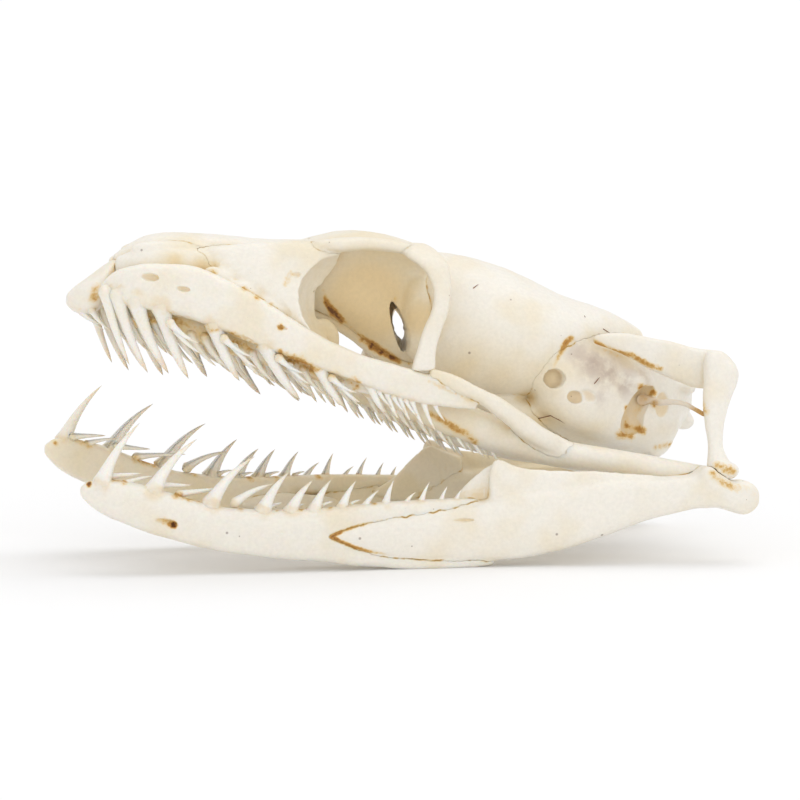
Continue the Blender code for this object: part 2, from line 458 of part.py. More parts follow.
for bone, rows, section, axis, neighbours in LEFT_BONES:
    name = bone + "_left"
    bones[name] = loft(name, rows, section, axis)
    if bone == "prefrontal":
        combine(bones[name], dome(*ORBIT))
        combine(bones[name], loft("foot", PREFRONTAL_FOOT, SPLINT, "Z"), "UNION")
    if bone == "palatine":
        combine(bones[name], loft("arm", PALATINE_ARM, SPLINT, "Y"), "UNION")
    trim(name, neighbours)
combine(bones["braincase_rear"], loft("stem", STEM_SPACE, OVAL))
combine(bones["parietal"], loft("brain", BRAIN_SPACE, OVAL))
add_teeth(bones["premaxilla"], PREMAXILLARY_TEETH, mirrored=True)
add_teeth(bones["maxilla_left"], MAXILLARY_TEETH)
add_teeth(bones["palatine_left"], PALATINE_TEETH)
add_teeth(bones["pterygoid_left"], PTERYGOID_TEETH)
for foramen in LIP_FORAMINA:
    combine(bones["maxilla_left"], dome(*foramen))

# left half of the lower jaw
bones["dentary_left"] = loft("dentary_left", DENTARY, BLADE)
combine(bones["dentary_left"], loft("prong", DENTARY_TOP, BLADE), "UNION")
combine(bones["dentary_left"], loft("prong", DENTARY_FOOT, OVAL), "UNION")
combine(bones["dentary_left"], dome(*MENTAL_FORAMEN))
bones["compound_left"] = loft("compound_left", COMPOUND, BLADE)
combine(bones["compound_left"], loft("crest", COMPOUND_CREST, SPLINT), "UNION")
trim("compound_left", ["dentary_left"])
combine(bones["compound_left"], dome(*JAW_FORAMEN))
for name, rows, neighbours in (
        ("coronoid_left", CORONOID, ["dentary_left", "compound_left"]),
        ("splenial_left", SPLENIAL, ["dentary_left", "compound_left", "coronoid_left"])):
    bones[name] = loft(name, rows, SPLINT)
    trim(name, neighbours)
add_teeth(bones["dentary_left"], DENTARY_TEETH)

# right side, then every bone in its place
mirror = Matrix.Diagonal(Vector((1.0, -1.0, 1.0, 1.0)))
for name in [name for name in bones if name.endswith("_left")]:
    right = name.replace("_left", "_right")
    bones[right] = moved_copy(right, bones[name], mirror)

to_pivot = Matrix.Translation(RIGHT_JAW_PIVOT)
jaw_place = (Matrix.Translation(RIGHT_JAW_SHIFT) @ to_pivot @ Matrix.Rotation(RIGHT_JAW_YAW, 4, "Z")
             @ Matrix.Rotation(RIGHT_JAW_PITCH, 4, "Y") @ Matrix.Rotation(RIGHT_JAW_LEAN, 4, "X")
             @ to_pivot.inverted())
skull_place = (Matrix.Translation(ROLL_PIVOT) @ Matrix.Rotation(SKULL_ROLL, 4, "X")
               @ Matrix.Translation(-ROLL_PIVOT))
right_jaw = [bones[bone + "_right"] for bone in JAW_BONES]
for name, thing in bones.items():
    if thing in right_jaw:
        thing.data.transform(jaw_place)
    elif name.rsplit("_", 1)[0] not in JAW_BONES:
        thing.data.transform(skull_place)


def lowest(things):
    return min(vert.co.z for thing in things for vert in thing.data.vertices)


drop = Matrix.Translation(Vector((0.0, 0.0, -lowest(right_jaw) - REST_DEPTH)))
for thing in right_jaw:
    thing.data.transform(drop)
for side in ("_left", "_right"):
    for name in ("quadrate" + side, "pterygoid" + side):
        trim(name, ["compound" + side])
    trim("pterygoid" + side, ["quadrate" + side])
    for bone in ("dentary", "compound"):
        if lowest([bones[bone + side]]) < 0:
            floor = block((-MIDLINE_REACH,) * 3, (MIDLINE_REACH, MIDLINE_REACH, 0))
            combine(bones[bone + side], floor)

corners = [vert.co for thing in bones.values() for vert in thing.data.vertices]
middle = [(min(corner[axis] for corner in corners) + max(corner[axis] for corner in corners)) / 2
          for axis in (0, 1)]
base = lowest(bones.values())
final = Matrix.Scale(UNIT, 4) @ Matrix.Translation(-Vector((*middle, base)))
for name, thing in bones.items():
    simplify(thing)
    thing.data.transform(final)
    if name.startswith("stapes"):
        paint(thing, "ear_bone", EAR_BONE_COLOUR)
    elif name.startswith(TOOTHED):
        paint(thing, "tooth_bone", TOOTH_BONE_COLOUR)
    else:
        paint(thing, "bone", BONE_COLOUR)
print("bones", len(bones), "centred by", middle)
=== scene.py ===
import math

import bmesh
import bpy
import numpy as np
from mathutils import Matrix, Vector, noise
from mathutils.bvhtree import BVHTree


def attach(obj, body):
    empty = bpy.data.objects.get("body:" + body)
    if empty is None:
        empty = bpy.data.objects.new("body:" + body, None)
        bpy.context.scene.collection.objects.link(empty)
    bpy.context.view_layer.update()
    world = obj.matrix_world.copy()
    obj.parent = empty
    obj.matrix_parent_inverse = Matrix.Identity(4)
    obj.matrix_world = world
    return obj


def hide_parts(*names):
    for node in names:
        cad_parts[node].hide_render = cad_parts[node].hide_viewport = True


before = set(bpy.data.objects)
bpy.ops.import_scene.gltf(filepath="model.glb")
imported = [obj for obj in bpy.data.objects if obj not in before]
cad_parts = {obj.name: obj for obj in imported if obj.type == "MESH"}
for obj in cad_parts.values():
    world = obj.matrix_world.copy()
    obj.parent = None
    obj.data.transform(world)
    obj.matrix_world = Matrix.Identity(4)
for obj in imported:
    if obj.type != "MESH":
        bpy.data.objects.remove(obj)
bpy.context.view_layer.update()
scene = bpy.context.scene

# the skull is drawn in millimetres: snout to -X, the animal's left to -Y, up is +Z
layout = {
    "centring": (1.79, 1.54, 0.0),     # from the drawing to the frame
    "roll": -4.0,                      # the upper skull leans to its right
    "rollPivot": (0.0, 0.0, 30.0),
    "jawLean": -7.0,                   # the right half of the jaw leans outwards at its top
    "jawPitch": 3.4,                   # and hangs nose up
    "jawYaw": -2.0,
    "jawPivot": (10.0, 21.0, 0.0),
    "jawShift": (-2.6, -3.0, -0.45),
    "metre": 0.001,
}
view = {
    "azimuth": -15.0, "elevation": 6.0, "distance": 0.8, "aim": (0.0, 0.0, 30.0),
    "lens": 184.6, "sensor": 36.0, "near": 0.05, "far": 60.0,
}


def toFrame():
    return Matrix.Scale(layout["metre"], 4) @ Matrix.Translation(Vector(layout["centring"]))


def addObject(name, data):
    made = bpy.data.objects.new(name, data)
    scene.collection.objects.link(made)
    return made


# camera, light and floor
def setCamera():
    data = bpy.data.cameras.new("camera")
    data.lens = view["lens"]
    data.sensor_width = view["sensor"]
    data.clip_start = view["near"]
    data.clip_end = view["far"]
    eye = addObject("camera", data)
    turn, lift = math.radians(view["azimuth"]), math.radians(view["elevation"])
    level = math.cos(lift)
    back = Vector((math.sin(turn) * level, -math.cos(turn) * level, math.sin(lift)))
    eye.location = toFrame() @ Vector(view["aim"]) + back * view["distance"]
    eye.rotation_euler = back.to_track_quat("Z", "Y").to_euler()
    scene.camera = eye


studio = {
    "sky": 0.78,
    # name, power, width in degrees, where it comes from
    "lamps": [("softbox", 0.8, 60.0, (0.25, 0.1, 1.0)), ("fill", 0.8, 100.0, (-0.2, -1.0, 0.1))],
    "floorColour": (0.93, 0.93, 0.935, 1.0),
    "floorRoughness": 0.9,
    "floorSize": 60.0,
}


def setStudio():
    world = bpy.data.worlds.new("studio")
    world.use_nodes = True
    sky = world.node_tree.nodes["Background"]
    sky.inputs["Color"].default_value = (1.0, 1.0, 1.0, 1.0)
    sky.inputs["Strength"].default_value = studio["sky"]
    scene.world = world
    scene.view_settings.view_transform = "Standard"
    for name, power, angle, source in studio["lamps"]:
        lamp = bpy.data.lights.new(name, "SUN")
        lamp.angle = math.radians(angle)
        lamp.energy = power
        holder = addObject(name, lamp)
        holder.rotation_euler = Vector(source).to_track_quat("Z", "Y").to_euler()
    bm = bmesh.new()
    bmesh.ops.create_grid(bm, x_segments=1, y_segments=1, size=studio["floorSize"] / 2)
    mesh = bpy.data.meshes.new("floor")
    bm.to_mesh(mesh)
    bm.free()
    floor = addObject("floor", mesh)
    paper = bpy.data.materials.new("paper")
    paper.use_nodes = True
    shader = paper.node_tree.nodes["Principled BSDF"]
    shader.inputs["Base Color"].default_value = studio["floorColour"]
    shader.inputs["Roughness"].default_value = studio["floorRoughness"]
    shader.inputs["Specular IOR Level"].default_value = 0.0
    mesh.materials.append(paper)


setCamera()
setStudio()
print("camera, light and floor are set")


# a section is drawn from its top down its left side, and its right side mirrors that
def section(*points):
    turned = [(-x, y) for x, y in reversed(points) if x]
    return [*points, *turned]


oval = section((0, 1), (-0.75, 0.72), (-1, 0), (-0.75, -0.72), (0, -1))
splint = section((0, 1), (-0.95, 0.45), (-0.95, -0.45), (0, -1))
blade = section((0, 1), (-0.8, 0.8), (-1, 0), (-0.8, -0.8), (0, -1))
egg = section((0, 1), (-0.4, 0.87), (-0.8, 0.5), (-1, -0.02), (-0.86, -0.6), (-0.45, -1))
tee = section((0, 1), (-0.55, 0.96), (-1, 0.76), (-0.72, 0.5), (-0.6, 0.1), (-0.5, -0.6), (-0.22, -1))
arch = section(
    (0, 1), (-0.5, 0.84), (-0.9, 0.35), (-1, -0.8), (-0.7, -0.1), (-0.15, 0.1), (-0.1, -1))

making = {
    "ringSteps": 4,          # rings between two rows of a loft
    "edgeSteps": 4,          # points between two corners of a section
    "thinnest": 0.06,        # least width of a section
    "skin": 0.3,             # spacing of the points on a rough bone
    "gap": 0.06,             # left between two bones at a suture
    "stitch": 0.22,          # how far a suture wanders
    "stitchSize": 0.8,
    "waveSize": 3.1,
    "ripples": [(6.0, 0.2, 1), (1.9, 0.06, 2)],    # size, depth and seed
    "seedStep": (7.1, 3.7, 5.3),
    "ballSides": (24, 14),
    "pinSides": 28,
    "block": 200.0,          # side of a block that cuts everything past a plane
    "toothSides": 12,
    "toothLevels": 10,
    "toothRoot": 1.0,        # how deep a tooth is set in its bone
    "rootRings": [(1.3, 0.5), (0.7, 1.12)],    # depth and width of the rings inside the bone
    "taper": 0.6,
    "rake": 0.55,            # how far a tooth leans back at its root
    "knee": 0.52,            # where it bends
    "flare": 0.5,            # how much wider it stands in its socket
    "flareFade": 7.0,
    "toothTip": 0.04,
}


def between(a, b, c, d, t):
    return tuple(0.5 * (2 * q + (r - p) * t + (2 * p - 5 * q + 4 * r - s) * t ** 2
                        + (3 * q - p - 3 * r + s) * t ** 3) for p, q, r, s in zip(a, b, c, d))


# a smooth run of points through a few given ones
def through(points, steps, closed=False):
    count = len(points)
    run = []
    for i in range(count if closed else count - 1):
        if closed:
            four = [points[(i + k) % count] for k in (-1, 0, 1, 2)]
        else:
            four = [points[min(max(i + k, 0), count - 1)] for k in (-1, 0, 1, 2)]
        run += [between(*four, j / steps) for j in range(steps)]
    if not closed:
        run.append(tuple(points[-1]))
    return run


# rows are (station, centre, half width, low, high) along X, Y or Z, and some end with a lean
def seat(row, point, axis):
    station, centre, half, low, high, *lean = row
    side, rise = point
    across = centre + side * max(half, making["thinnest"]) + rise * sum(lean)
    edge = (low + high) / 2 + rise * max(high - low, making["thinnest"]) / 2
    places = {"X": (station, across, edge), "Y": (across, station, edge), "Z": (edge, across, station)}
    return Vector(places[axis])


# extrude one ring through a list of places, each a function from corner number to point
def sweep(bm, corners, places, closeTip=False):
    mark = bm.verts.layers.int.verify()
    ring = bmesh.ops.create_circle(bm, cap_ends=True, segments=corners, radius=1.0)["verts"]
    for i, vert in enumerate(ring):
        vert[mark] = i
        vert.co = places[0](i)
    rim = list({edge for vert in ring for edge in vert.link_edges})
    for place in places[1:]:
        made = bmesh.ops.extrude_edge_only(bm, edges=rim)["geom"]
        ring = [part for part in made if isinstance(part, bmesh.types.BMVert)]
        fresh = set(ring)
        edges = [part for part in made if isinstance(part, bmesh.types.BMEdge)]
        rim = [edge for edge in edges if fresh.issuperset(edge.verts)]
        for vert in ring:
            vert.co = place(vert[mark])
    if closeTip:
        middle = sum((vert.co for vert in ring), Vector()) / len(ring)
        bmesh.ops.pointmerge(bm, verts=ring, merge_co=middle)
    else:
        bmesh.ops.contextual_create(bm, geom=rim)


def loft(bm, rows, shape, axis):
    outline = through(shape, making["edgeSteps"], closed=True)
    places = []
    for row in through(rows, making["ringSteps"]):
        places.append(lambda i, row=row: seat(row, outline[i], axis))
    sweep(bm, len(outline), places)


# turned to a slope, scaled and set at its centre
def placed(centre, radii, turn):
    return (Matrix.Translation(Vector(centre)) @ Matrix.Rotation(math.radians(turn), 4, "Y")
            @ Matrix.Diagonal(Vector((*radii, 1.0))))


def ball(bm, centre, radii, turn=0.0):
    around, down = making["ballSides"]
    made = bmesh.ops.create_uvsphere(bm, u_segments=around, v_segments=down, radius=1.0)["verts"]
    bmesh.ops.transform(bm, matrix=placed(centre, radii, turn), verts=made)


# an oval pin along Y
def pin(bm, centre, radii, depth, turn):
    made = bmesh.ops.create_cone(
        bm, cap_ends=True, segments=making["pinSides"], radius1=1.0, radius2=1.0, depth=depth)["verts"]
    laid = placed(centre, (radii[0], 1.0, radii[1]), turn) @ Matrix.Rotation(math.pi / 2, 4, "X")
    bmesh.ops.transform(bm, matrix=laid, verts=made)


# everything past a plane square to the given way
def block(bm, way, offset=0.0):
    made = bmesh.ops.create_cube(bm, size=making["block"])["verts"]
    bmesh.ops.translate(bm, vec=Vector(way) * (making["block"] / 2 - offset), verts=made)


def addThing(name, bm):
    bmesh.ops.recalc_face_normals(bm, faces=bm.faces)
    mesh = bpy.data.meshes.new(name)
    bm.to_mesh(mesh)
    bm.free()
    return addObject(name, mesh)


def settle(thing):
    graph = bpy.context.evaluated_depsgraph_get()
    result = bpy.data.meshes.new_from_object(thing.evaluated_get(graph))
    old = thing.data
    thing.modifiers.clear()
    thing.data = result
    bpy.data.meshes.remove(old)


def evenSkin(thing, size):
    step = thing.modifiers.new("even skin", "REMESH")
    step.mode = "VOXEL"
    step.voxel_size = size
    settle(thing)


def combine(thing, tool, operation="DIFFERENCE"):
    step = thing.modifiers.new("combine", "BOOLEAN")
    step.operation = operation
    step.solver = "MANIFOLD"
    step.object = tool
    settle(thing)
    bpy.data.objects.remove(tool, do_unlink=True)


def relax(thing, times):
    bm = bmesh.new()
    bm.from_mesh(thing.data)
    for _ in range(times):
        bmesh.ops.smooth_vert(
            bm, verts=bm.verts, factor=0.5, use_axis_x=True, use_axis_y=True, use_axis_z=True)
    bm.to_mesh(thing.data)
    bm.free()


def readPoints(mesh, what="vertices", name="co"):
    values = np.empty(len(getattr(mesh, what)) * 3)
    getattr(mesh, what).foreach_get(name, values)
    return values.reshape(-1, 3)


# push the skin in and out by soft noise
def ripple(thing, size, depth, seed):
    mesh = thing.data
    points = readPoints(mesh)
    normals = readPoints(mesh, "vertex_normals", "vector")
    shift = Vector(making["seedStep"]) * seed
    push = np.array([noise.noise(Vector(point) / size + shift) for point in points])
    points += normals * (push * depth)[:, None]
    mesh.vertices.foreach_set("co", points.ravel())
    mesh.update()


# a copy of a bone pushed outwards, a little unevenly, to part two bones with
def swollen(thing, reach, wander=None, mirrored=False):
    bm = bmesh.new()
    bm.from_mesh(thing.data)
    bm.normal_update()
    wander = making["stitch"] if wander is None else wander
    moves = []
    for vert in bm.verts:
        drift = noise.noise(vert.co / making["stitchSize"]) + noise.noise(vert.co / making["waveSize"])
        moves.append((vert, vert.normal * (reach + drift * wander)))
    for vert, move in moves:
        vert.co += move
    if mirrored:
        bmesh.ops.transform(bm, matrix=mirror, verts=bm.verts)
    return addThing("cutter", bm)


def keepLargest(thing):
    bm = bmesh.new()
    bm.from_mesh(thing.data)
    unseen = set(bm.verts)
    bodies = []
    while unseen:
        stack = [unseen.pop()]
        body = list(stack)
        while stack:
            for edge in stack.pop().link_edges:
                for vert in edge.verts:
                    if vert in unseen:
                        unseen.discard(vert)
                        body.append(vert)
                        stack.append(vert)
        bodies.append(body)
    bodies.sort(key=len, reverse=True)
    spare = [vert for body in bodies[1:] for vert in body]
    bmesh.ops.delete(bm, geom=spare, context="VERTS")
    bm.to_mesh(thing.data)
    bm.free()


# a tooth reads (x, y, z, back, rise, out, radius); its path is centres and radii from root to tip
def toothPath(tooth, taper, side=1):
    x, y, z, back, rise, out, radius = tooth
    root = Vector((x, y * side, z))
    reach = Vector((back, out * side, rise))
    start = Vector((back * making["rake"], out * side, rise)).normalized()
    knee = root + start * reach.length * making["knee"]
    tip = root + reach
    sunk = making["toothRoot"] * min(radius, 1.0)
    path = [(root - start * sunk * depth, radius * width) for depth, width in making["rootRings"]]
    levels = making["toothLevels"]
    for i in range(levels):
        t = i / levels
        centre = root.lerp(knee, t).lerp(knee.lerp(tip, t), t)
        flare = 1.0 + making["flare"] * math.exp(-t * making["flareFade"])
        path.append((centre, radius * flare * (1 - t) ** taper))
    path.append((tip, making["toothTip"]))
    return path


def onRing(i, centre, radius, across, third):
    angle = 2 * math.pi * i / making["toothSides"]
    return centre + (across * math.cos(angle) + third * math.sin(angle)) * radius


def addTooth(bm, path):
    places = []
    for i, (centre, radius) in enumerate(path):
        ahead = path[min(i + 1, len(path) - 1)][0]
        behind = path[max(i - 1, 0)][0]
        along = (ahead - behind).normalized()
        across = along.cross(Vector((0.0, 1.0, 0.0))).normalized()
        ring = {"centre": centre, "radius": radius, "across": across, "third": along.cross(across)}
        places.append(lambda i, ring=ring: onRing(i, **ring))
    sweep(bm, making["toothSides"], places, closeTip=True)


bones = {}
teethOf = {}
mirror = Matrix.Diagonal(Vector((1.0, -1.0, 1.0, 1.0)))


def cutWith(thing, build):
    bm = bmesh.new()
    build(bm)
    combine(thing, addThing("cutter", bm))


# the whole form of one bone before it meets its neighbours
def rough(name, plan):
    bm = bmesh.new()
    for rows, shape, axis in plan["bodies"]:
        loft(bm, rows, shape, axis)
    for centre, radii, *turn in plan.get("lumps", []):
        ball(bm, centre, radii, *turn)
    thing = addThing(name, bm)
    evenSkin(thing, plan.get("skin", making["skin"]))
    for centre, radii, *turn in plan.get("bays", []):
        cutWith(thing, lambda bm: ball(bm, centre, radii, *turn))
    return thing


# holes, the cut down the middle and the teeth of one bone
def finishBone(name, plan):
    thing = bones[name]
    for centre, radii, depth, turn in plan.get("drills", []):
        cutWith(thing, lambda bm: pin(bm, centre, radii, depth, turn))
    for centre, radii, *turn in plan.get("scoops", []):
        cutWith(thing, lambda bm: ball(bm, centre, radii, *turn))
    for rows, shape, axis in plan.get("hollows", []):
        cutWith(thing, lambda bm: loft(bm, rows, shape, axis))
    for neighbour in plan.get("meets", []):
        combine(thing, swollen(bones[neighbour], making["gap"]))
        if plan.get("middle") and neighbour.endswith("_left"):
            combine(thing, swollen(bones[neighbour], making["gap"], mirrored=True))
    if plan.get("halved"):
        cutWith(thing, lambda bm: block(bm, (0, 1, 0), making["gap"] / 2))
    keepLargest(thing)
    relax(thing, 1)
    taper = plan.get("taper", making["taper"])
    paths = []
    for tooth in plan.get("teeth", []):
        paths += [toothPath(tooth, taper, side) for side in plan.get("sides", (1,))]
    paths += [toothPath(tooth, making["taper"]) for tooth in plan.get("spares", [])]
    if paths:
        bm = bmesh.new()
        for path in paths:
            addTooth(bm, path)
        combine(thing, addThing("teeth", bm), "UNION")
    teethOf[name] = paths
    print(name, len(thing.data.polygons))


# bones that lie flush share one smooth skin, which is then parted along their sutures
def growTogether(plans, soften, reach, skin):
    drafts = {name: rough(name, plan) for name, plan in plans.items()}
    bm = bmesh.new()
    for draft in drafts.values():
        bm.from_mesh(draft.data)
    shell = addThing("shell", bm)
    evenSkin(shell, skin)
    relax(shell, soften)
    for size, depth, seed in making["ripples"]:
        ripple(shell, size, depth, seed)
    made = []
    for name in plans:
        part = addObject(name, shell.data.copy())
        combine(part, swollen(drafts[name], reach), "INTERSECT")
        for other in made:
            combine(part, swollen(bones[other], making["gap"], wander=0.0))
        bones[name] = part
        made.append(name)
    for name, plan in plans.items():
        finishBone(name, plan)
        bpy.data.objects.remove(drafts[name], do_unlink=True)
    bpy.data.objects.remove(shell, do_unlink=True)


# shapes at the left of the midline, each followed by its mirror
def bothSides(*shapes):
    return [((x, y * side, z), *rest) for (x, y, z), *rest in shapes for side in (1, -1)]


# the opening in which the ear rod ends, at one side of the braincase
def earOpening(y):
    rows = [(22.4, 2.6, 42.4, 45.6), (23.6, 3.2, 41.6, 46.6), (26, 3.4, 41.8, 46.8),
            (29, 3.4, 43.4, 48.6), (30.8, 3.2, 45, 49.4), (31.8, 2.4, 46.2, 48.8)]
    return [(z, y, half, low, high) for z, half, low, high in rows], oval, "Z"


# roof and braincase, on the midline
braincaseRear = {
    "bodies": [([(25, 0, 10.4, 26.4, 39), (28, 0, 13.2, 24, 41.6), (33, 0, 13.7, 21.8, 42.4),
        (39, 0, 12.6, 20, 42.2), (44, 0, 11.2, 18.6, 41.6), (49, 0, 9.6, 17.4, 40.4),
        (52.6, 0, 8.2, 17.4, 38.4), (55, 0, 6.8, 20.6, 35.6), (57.2, 0, 5.4, 24.4, 34.2),
        (59, 0, 4.2, 26, 33.2)], blade, "X")],
    "lumps": bothSides(
        ((57, -6.6, 31), (1.8, 2.2, 1.5)), ((54, -6.4, 24.8), (1.5, 1.8, 2.2)),
        ((50.2, -5.6, 18.4), (1.8, 2, 1.4)), ((44, -10, 34), (5, 2.6, 2.2), 25))
        + [((58.4, 0, 24.2), (2.2, 2.6, 1.9))],
    "drills": bothSides(((27.7, -12.2, 33.8), (1.9, 1.9), 4.6, 0)),
    "scoops": bothSides(
        ((31.6, -13.6, 30.1), (1.7, 2, 1.3), 14), ((34.6, -13.9, 30), (2.6, 1.1, 1.6), 20),
        ((44.4, -11, 22.2), (3.6, 1.8, 1), -8), ((51.4, -9.6, 28), (2.2, 1.6, 3.2), 10)),
    "hollows": [earOpening(-11), earOpening(11),
        ([(40, 0, 3.4, 25, 33), (52, 0, 3.2, 27, 32.6), (64, 0, 2.8, 27.4, 32.2)], oval, "X")],
}
basisphenoid = {
    "bodies": [([(-20, 0, 0.8, 47.8, 49.4), (-11.4, 0, 1.1, 42.8, 46.8), (-6.6, 0, 1.4, 39.2, 43.6),
        (-3.6, 0, 1.7, 36.6, 41.4), (0, 0, 2.2, 34.8, 39.4), (8, 0, 4.4, 29.4, 35),
        (15, 0, 7.4, 25.6, 32.4), (22, 0, 8.8, 22.8, 31), (30, 0, 8.2, 20.6, 28), (37, 0, 6.4, 18.8, 25),
        (42, 0, 4.2, 17.6, 22)], oval, "X")],
}
parietal = {
    "bodies": [([(2.5, 0, 9, 35.5, 59.9), (6, 0, 11.2, 32.6, 58.9), (12, 0, 12.9, 31, 58.2),
        (20, 0, 13.9, 30.5, 56), (26, 0, 13.7, 31, 53.4), (32, 0, 12.2, 34, 50.4),
        (37, 0, 9.6, 36.5, 48.5), (43, 0, 5.9, 38, 46.4), (50, 0, 1.6, 38.5, 42.5)], egg, "X")],
    "bays": bothSides(((1.5, -15, 47.5), (5.2, 7.8, 10.5))),
    "drills": [((3.6, 6, 42.8), (2.4, 4.6), 9, -16)],
}
growTogether({
    "braincase_rear": braincaseRear, "basisphenoid": basisphenoid, "parietal": parietal},
    soften=26, reach=0.9, skin=0.36)

# the left side of the snout and the ring round the eye
orbit = ((-10.3, -15.2, 49.5), (13.8, 9.2, 10.4))
postorbital = {
    "bodies": [([(36.2, -20.3, 1.3, -3.2, 1.6), (40, -20.2, 1.1, -1.9, 1.9), (44, -20, 1.1, -0.6, 3.3),
        (48, -19.4, 1.1, 1.5, 4.8), (52, -18.4, 1.2, 1.9, 5.6), (55.4, -16.8, 1.6, 0.6, 5.7),
        (57.8, -14.6, 2.3, -2, 5), (59.6, -12.4, 2.1, -2.6, 3.8), (60.5, -11.4, 0.9, -1.6, 2.4)], blade,
        "Z")],
    "meets": ["parietal"],
}
supraorbital = {
    "bodies": [([(-19.5, -12.2, 0.9, 59.8, 61.3), (-15, -12.2, 2.4, 59.2, 61.8),
        (-10, -12.3, 2.5, 59.2, 61.9), (-5, -12.5, 2.5, 58.8, 61.4), (-1, -12.9, 2.1, 58.2, 60.5),
        (2.4, -13.4, 1.1, 57.4, 59.2)], oval, "X")],
    "meets": ["parietal"],
}
prefrontal = {
    "bodies": [
        ([(-41, -6.9, 0.6, 58.2, 59.7, 0), (-37, -8.4, 1.3, 55.8, 60.6, 1.2),
          (-32, -10.2, 1.7, 52.2, 61.2, 2.2), (-27, -11.6, 2.2, 49.2, 61.4, 3),
          (-23, -12.4, 3.4, 44, 61.4, 3), (-20, -12.4, 4.2, 42.6, 61.3, 2.6),
          (-17, -11.2, 3.6, 46, 61.3, 2), (-14.5, -10.2, 2, 56, 61.2, 1)], blade, "X"),
        ([(40.2, -12.8, 2.8, -20.9, -15.4), (43, -12.2, 3, -21.2, -15.4), (47, -11.4, 3.2, -22.2, -16.2),
          (51, -10.6, 3.2, -22.6, -17.2)], splint, "Z")],
    "lumps": [((-17.2, -7.4, 42.2), (3.4, 1.7, 4.4)), ((-38, -10.8, 54.2), (3.6, 1.8, 2.2), 30),
        ((-32.6, -12.4, 50.8), (4.6, 1.9, 2.4), 30), ((-27.4, -13.6, 48.2), (4.6, 2.2, 2.4), 30),
        ((-23.4, -14.8, 45.4), (3.6, 1.9, 2.4), 34)],
    "bays": [orbit],
    "scoops": [((-24, -15, 55), (1, 0.8, 0.7)), ((-22.4, -14.9, 53.2), (0.6, 0.7, 0.5))],
}
nasal = {
    "bodies": [([(-56.4, 0, 1.2, 57.4, 59.2), (-53, 0, 3, 58.2, 61.6), (-49, 0, 4.6, 58.9, 63.2),
        (-43, 0, 6, 58.8, 63.4), (-36, 0, 6.6, 58.4, 63), (-28, 0, 6.3, 58.2, 62),
        (-18, 0, 3.6, 59, 61.6)], arch, "X")],
    "halved": True,
}
septomaxilla = {
    "bodies": [([(-56.4, -3.2, 1.5, 54.6, 58.8), (-53, -4.7, 2.5, 53.6, 60.2), (-48, -5.4, 3.2, 52.8, 61),
        (-43, -5.8, 3.4, 52.8, 60.6), (-38, -6, 3, 53.2, 59.6), (-34, -5.8, 2, 53.6, 58.4),
        (-30, -5.8, 1, 54.4, 57.2)], oval, "X")],
    "lumps": [((-45, -5.2, 60.2), (9, 2.1, 1.8), 2)],
}
frontal = {
    "bodies": [([(-21, 0, 6.2, 50, 61.2), (-17, 0, 8.5, 48.4, 62.1), (-12, 0, 9.5, 45.8, 63.1),
        (-8, 0, 9.6, 42.8, 63.3), (-2, 0, 10.2, 38.8, 62.1), (4, 0, 10.8, 36.4, 60)], tee, "X")],
    "lumps": [((2.4, -5.4, 46.5), (3.4, 4.1, 9.4))],
    "bays": bothSides(orbit),
    "hollows": [([(-9, 0, 2.2, 48.6, 57), (-5, 0, 4.4, 45, 58), (0, 0, 4.8, 42, 57.5), (6, 0, 5, 41, 57)],
        oval, "X")],
    "drills": [((-1.4, -6, 44.4), (1.2, 5.1), 12, -16)],
    "meets": ["parietal", "basisphenoid"],
    "halved": True,
}
growTogether({
    "postorbital_left": postorbital, "supraorbital_left": supraorbital, "prefrontal_left": prefrontal,
    "nasal_left": nasal, "septomaxilla_left": septomaxilla, "frontal_left": frontal},
    soften=9, reach=0.45, skin=0.27)

premaxilla = {
    "bodies": [([(-65.4, 0, 1.6, 49.8, 51.8), (-63.6, 0, 3.6, 48.4, 53.6), (-61, 0, 5.2, 48.2, 55.4),
        (-58.6, 0, 5, 49.6, 57), (-56, 0, 2.4, 53.6, 58.6), (-53, 0, 1.4, 55.6, 59.4)], oval, "X")],
    "skin": 0.25,
    "middle": True,
    "meets": ["nasal_left", "septomaxilla_left"],
    "teeth": [(-63.4, -1.4, 49.4, 4.6, -3.4, 0.1, 0.5), (-61.2, -3.4, 48.9, 3.6, -4, -0.3, 0.55)],
    "sides": (1, -1),
}
growTogether({"premaxilla": premaxilla}, soften=4, reach=0.6, skin=0.25)

vomer = {
    "bodies": [([(-54, -1.9, 1, 50, 51.4), (-50, -2.4, 1.7, 49.4, 52), (-45, -2.7, 2.1, 48.6, 52),
        (-40, -2.5, 1.8, 48.4, 51.4), (-35, -2, 1, 48.8, 50.6)], splint, "X")],
    "meets": ["premaxilla", "septomaxilla_left"],
}
growTogether({"vomer_left": vomer}, soften=4, reach=0.6, skin=0.3)

